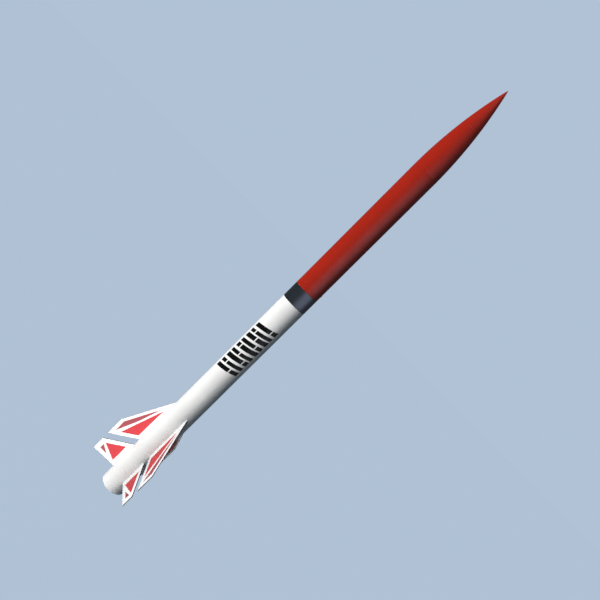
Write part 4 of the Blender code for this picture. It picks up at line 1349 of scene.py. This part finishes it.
def billow(obj, held_low, held_high):
    """Lets the cloth swell and wrinkle a little, held fast where the lines go round it."""
    group = obj.vertex_groups.new(name="held")
    held = [v.index for v in obj.data.vertices if held_low <= v.co.z <= held_high]
    group.add(held, 1.0, "REPLACE")
    before = np.array([v.co for v in obj.data.vertices])
    cloth = obj.modifiers.new("cloth", "CLOTH")
    settings = cloth.settings
    settings.quality = 5
    settings.mass = 0.15
    settings.use_pressure = True
    settings.uniform_pressure_force = 3.0
    settings.shrink_min = -0.06
    settings.bending_stiffness = 0.02
    settings.vertex_group_mass = "held"
    settings.effector_weights.gravity = 0.0
    scene = bpy.context.scene
    cloth.point_cache.frame_end = CLOTH_FRAMES
    for step in range(1, CLOTH_FRAMES + 1):
        scene.frame_set(step)
    graph = bpy.context.evaluated_depsgraph_get()
    evaluated = obj.evaluated_get(graph).data
    after = np.array([v.co for v in evaluated.vertices])
    scene.frame_set(1)
    obj.modifiers.remove(cloth)
    moved = after - before
    reach = np.linalg.norm(moved, axis=1, keepdims=True)
    moved *= np.minimum(1.0, CLOTH_REACH / np.maximum(reach, 1e-9))
    for vertex, place in zip(obj.data.vertices, before + moved):
        vertex.co = place


def clamp_to(obj, radius, bottom, top):
    """Keeps a soft piece inside the room its CAD solid holds."""
    for vertex in obj.data.vertices:
        flat = Vector((vertex.co.x, vertex.co.y))
        if flat.length > radius:
            flat *= radius / flat.length
        vertex.co = (flat.x, flat.y, min(top, max(bottom, vertex.co.z)))


def lines(node, bundle, low, high):
    """The parachute's lines, wound side by side round the bundle's waist."""
    turns, thickness = 9, 1.1 * MM
    waist = [v.co for v in bundle.data.vertices if low <= v.co.z <= high]
    reach = max(math.hypot(v.x, v.y) for v in waist) + 0.6 * thickness
    path = []
    steps = turns * 40
    for step in range(steps + 1):
        turn = math.tau * turns * step / steps
        drift = 0.5 * MM * math.sin(turn * 0.37 + 1.3)
        height = low + (high - low) * (0.15 + 0.7 * step / steps) + drift
        path.append((reach * math.cos(turn), reach * math.sin(turn), height))
    made = swept(f"{node}_lines", path, thickness, 8, "line")
    added(made, BODY[node], "webbing")


def folded_webbing(node, seed):
    """Shock cord folded to and fro in two stacks, each held by two rubber bands."""
    radius, bottom, top = room(node)
    rng = random.Random(seed)
    width, thick = 21 * MM, 2.2 * MM
    pitch = 4.2 * MM
    verts, faces, bands = [], [], []
    for stack_x in (-11.5 * MM, 11.5 * MM):
        depth = math.sqrt((radius - 1.5 * MM) ** 2 - (abs(stack_x) + width / 2) ** 2)
        runs = int(2 * depth / pitch)
        path = []
        for run in range(runs):
            y = -depth + pitch * (run + 0.5)
            ends = (bottom + 3.5 * MM, top - 3.5 * MM)
            start, end = ends if run % 2 == 0 else ends[::-1]
            bow = rng.uniform(-0.25, 0.25) * MM
            short = rng.uniform(0, 3) * MM
            for step in range(9):
                share = step / 8
                height = start + (end - start) * share
                path.append((y + bow * math.sin(math.pi * share), height))
            if run < runs - 1:
                sign = 1 if end > start else -1
                for step in range(1, 6):
                    turn = math.pi * step / 6
                    y_turn = y + pitch / 2 - pitch / 2 * math.cos(turn)
                    path.append((y_turn, end + sign * (pitch / 2 * math.sin(turn) - short * 0.2)))
        first = len(verts)
        for index, (y, height) in enumerate(path):
            before = path[max(0, index - 1)]
            after = path[min(len(path) - 1, index + 1)]
            ahead = Vector((after[0] - before[0], after[1] - before[1])).normalized()
            out = Vector((-ahead.y, ahead.x)) * thick / 2
            drift = 0.4 * MM * math.sin(index * 0.31 + seed)
            for across, side in ((-1, -1), (0, -1.12), (1, -1), (1, 1), (0, 1.12), (-1, 1)):
                x = stack_x + drift + across * width / 2
                verts.append((x, y + out.x * side, height + out.y * side))
        faces += skin(6, len(path), first)
        for share in (0.3, 0.7):
            bands.append(rubber_band(stack_x, width, depth, bottom + (top - bottom) * share))
    made = meshed(f"{node}_finished", verts, faces, "webbing")
    stand_in(made, node)
    added(joined(f"{node}_bands", bands, "rubber"), BODY[node], "webbing")


def rubber_band(x, width, depth, height):
    """A flat band stretched round one stack."""
    half_x, half_y = width / 2 + 0.9 * MM, depth + 0.6 * MM
    corner = 2.5 * MM
    loop = []
    for quarter, (sx, sy) in enumerate(((1, 1), (-1, 1), (-1, -1), (1, -1))):
        for step in range(7):
            turn = math.pi / 2 * (quarter + step / 6)
            loop.append((
                x + sx * (half_x - corner) + corner * math.cos(turn),
                sy * (half_y - corner) + corner * math.sin(turn),
            ))
    verts = []
    thick, tall = 0.5 * MM, 2.5 * MM
    centre = Vector((x, 0))
    for point in loop:
        outward = (Vector(point) - centre).normalized() * thick
        for side, rise in ((-1, -1), (1, -1), (1, 1), (-1, 1)):
            verts.append((point[0] + outward.x * side, point[1] + outward.y * side, height + rise * tall))
    return meshed("band", verts, skin(4, len(loop), closed=True))


def recovery_gear():
    folded_webbing("booster_shock_cord", 3)
    folded_webbing("payload_shock_cord", 5)
    parachute("drogue_parachute", 11)
    parachute("main_parachute", 17)


camera()
world()
ground = floor()
slotted_tube()
band_and_payload()
nose_cone()
fin_pieces = fins()
lights(fin_pieces, ground)
side_graphic()
rail_guides()
motor_mount()
retainer_cap()
motor()
electronics_bay()
recovery_gear()
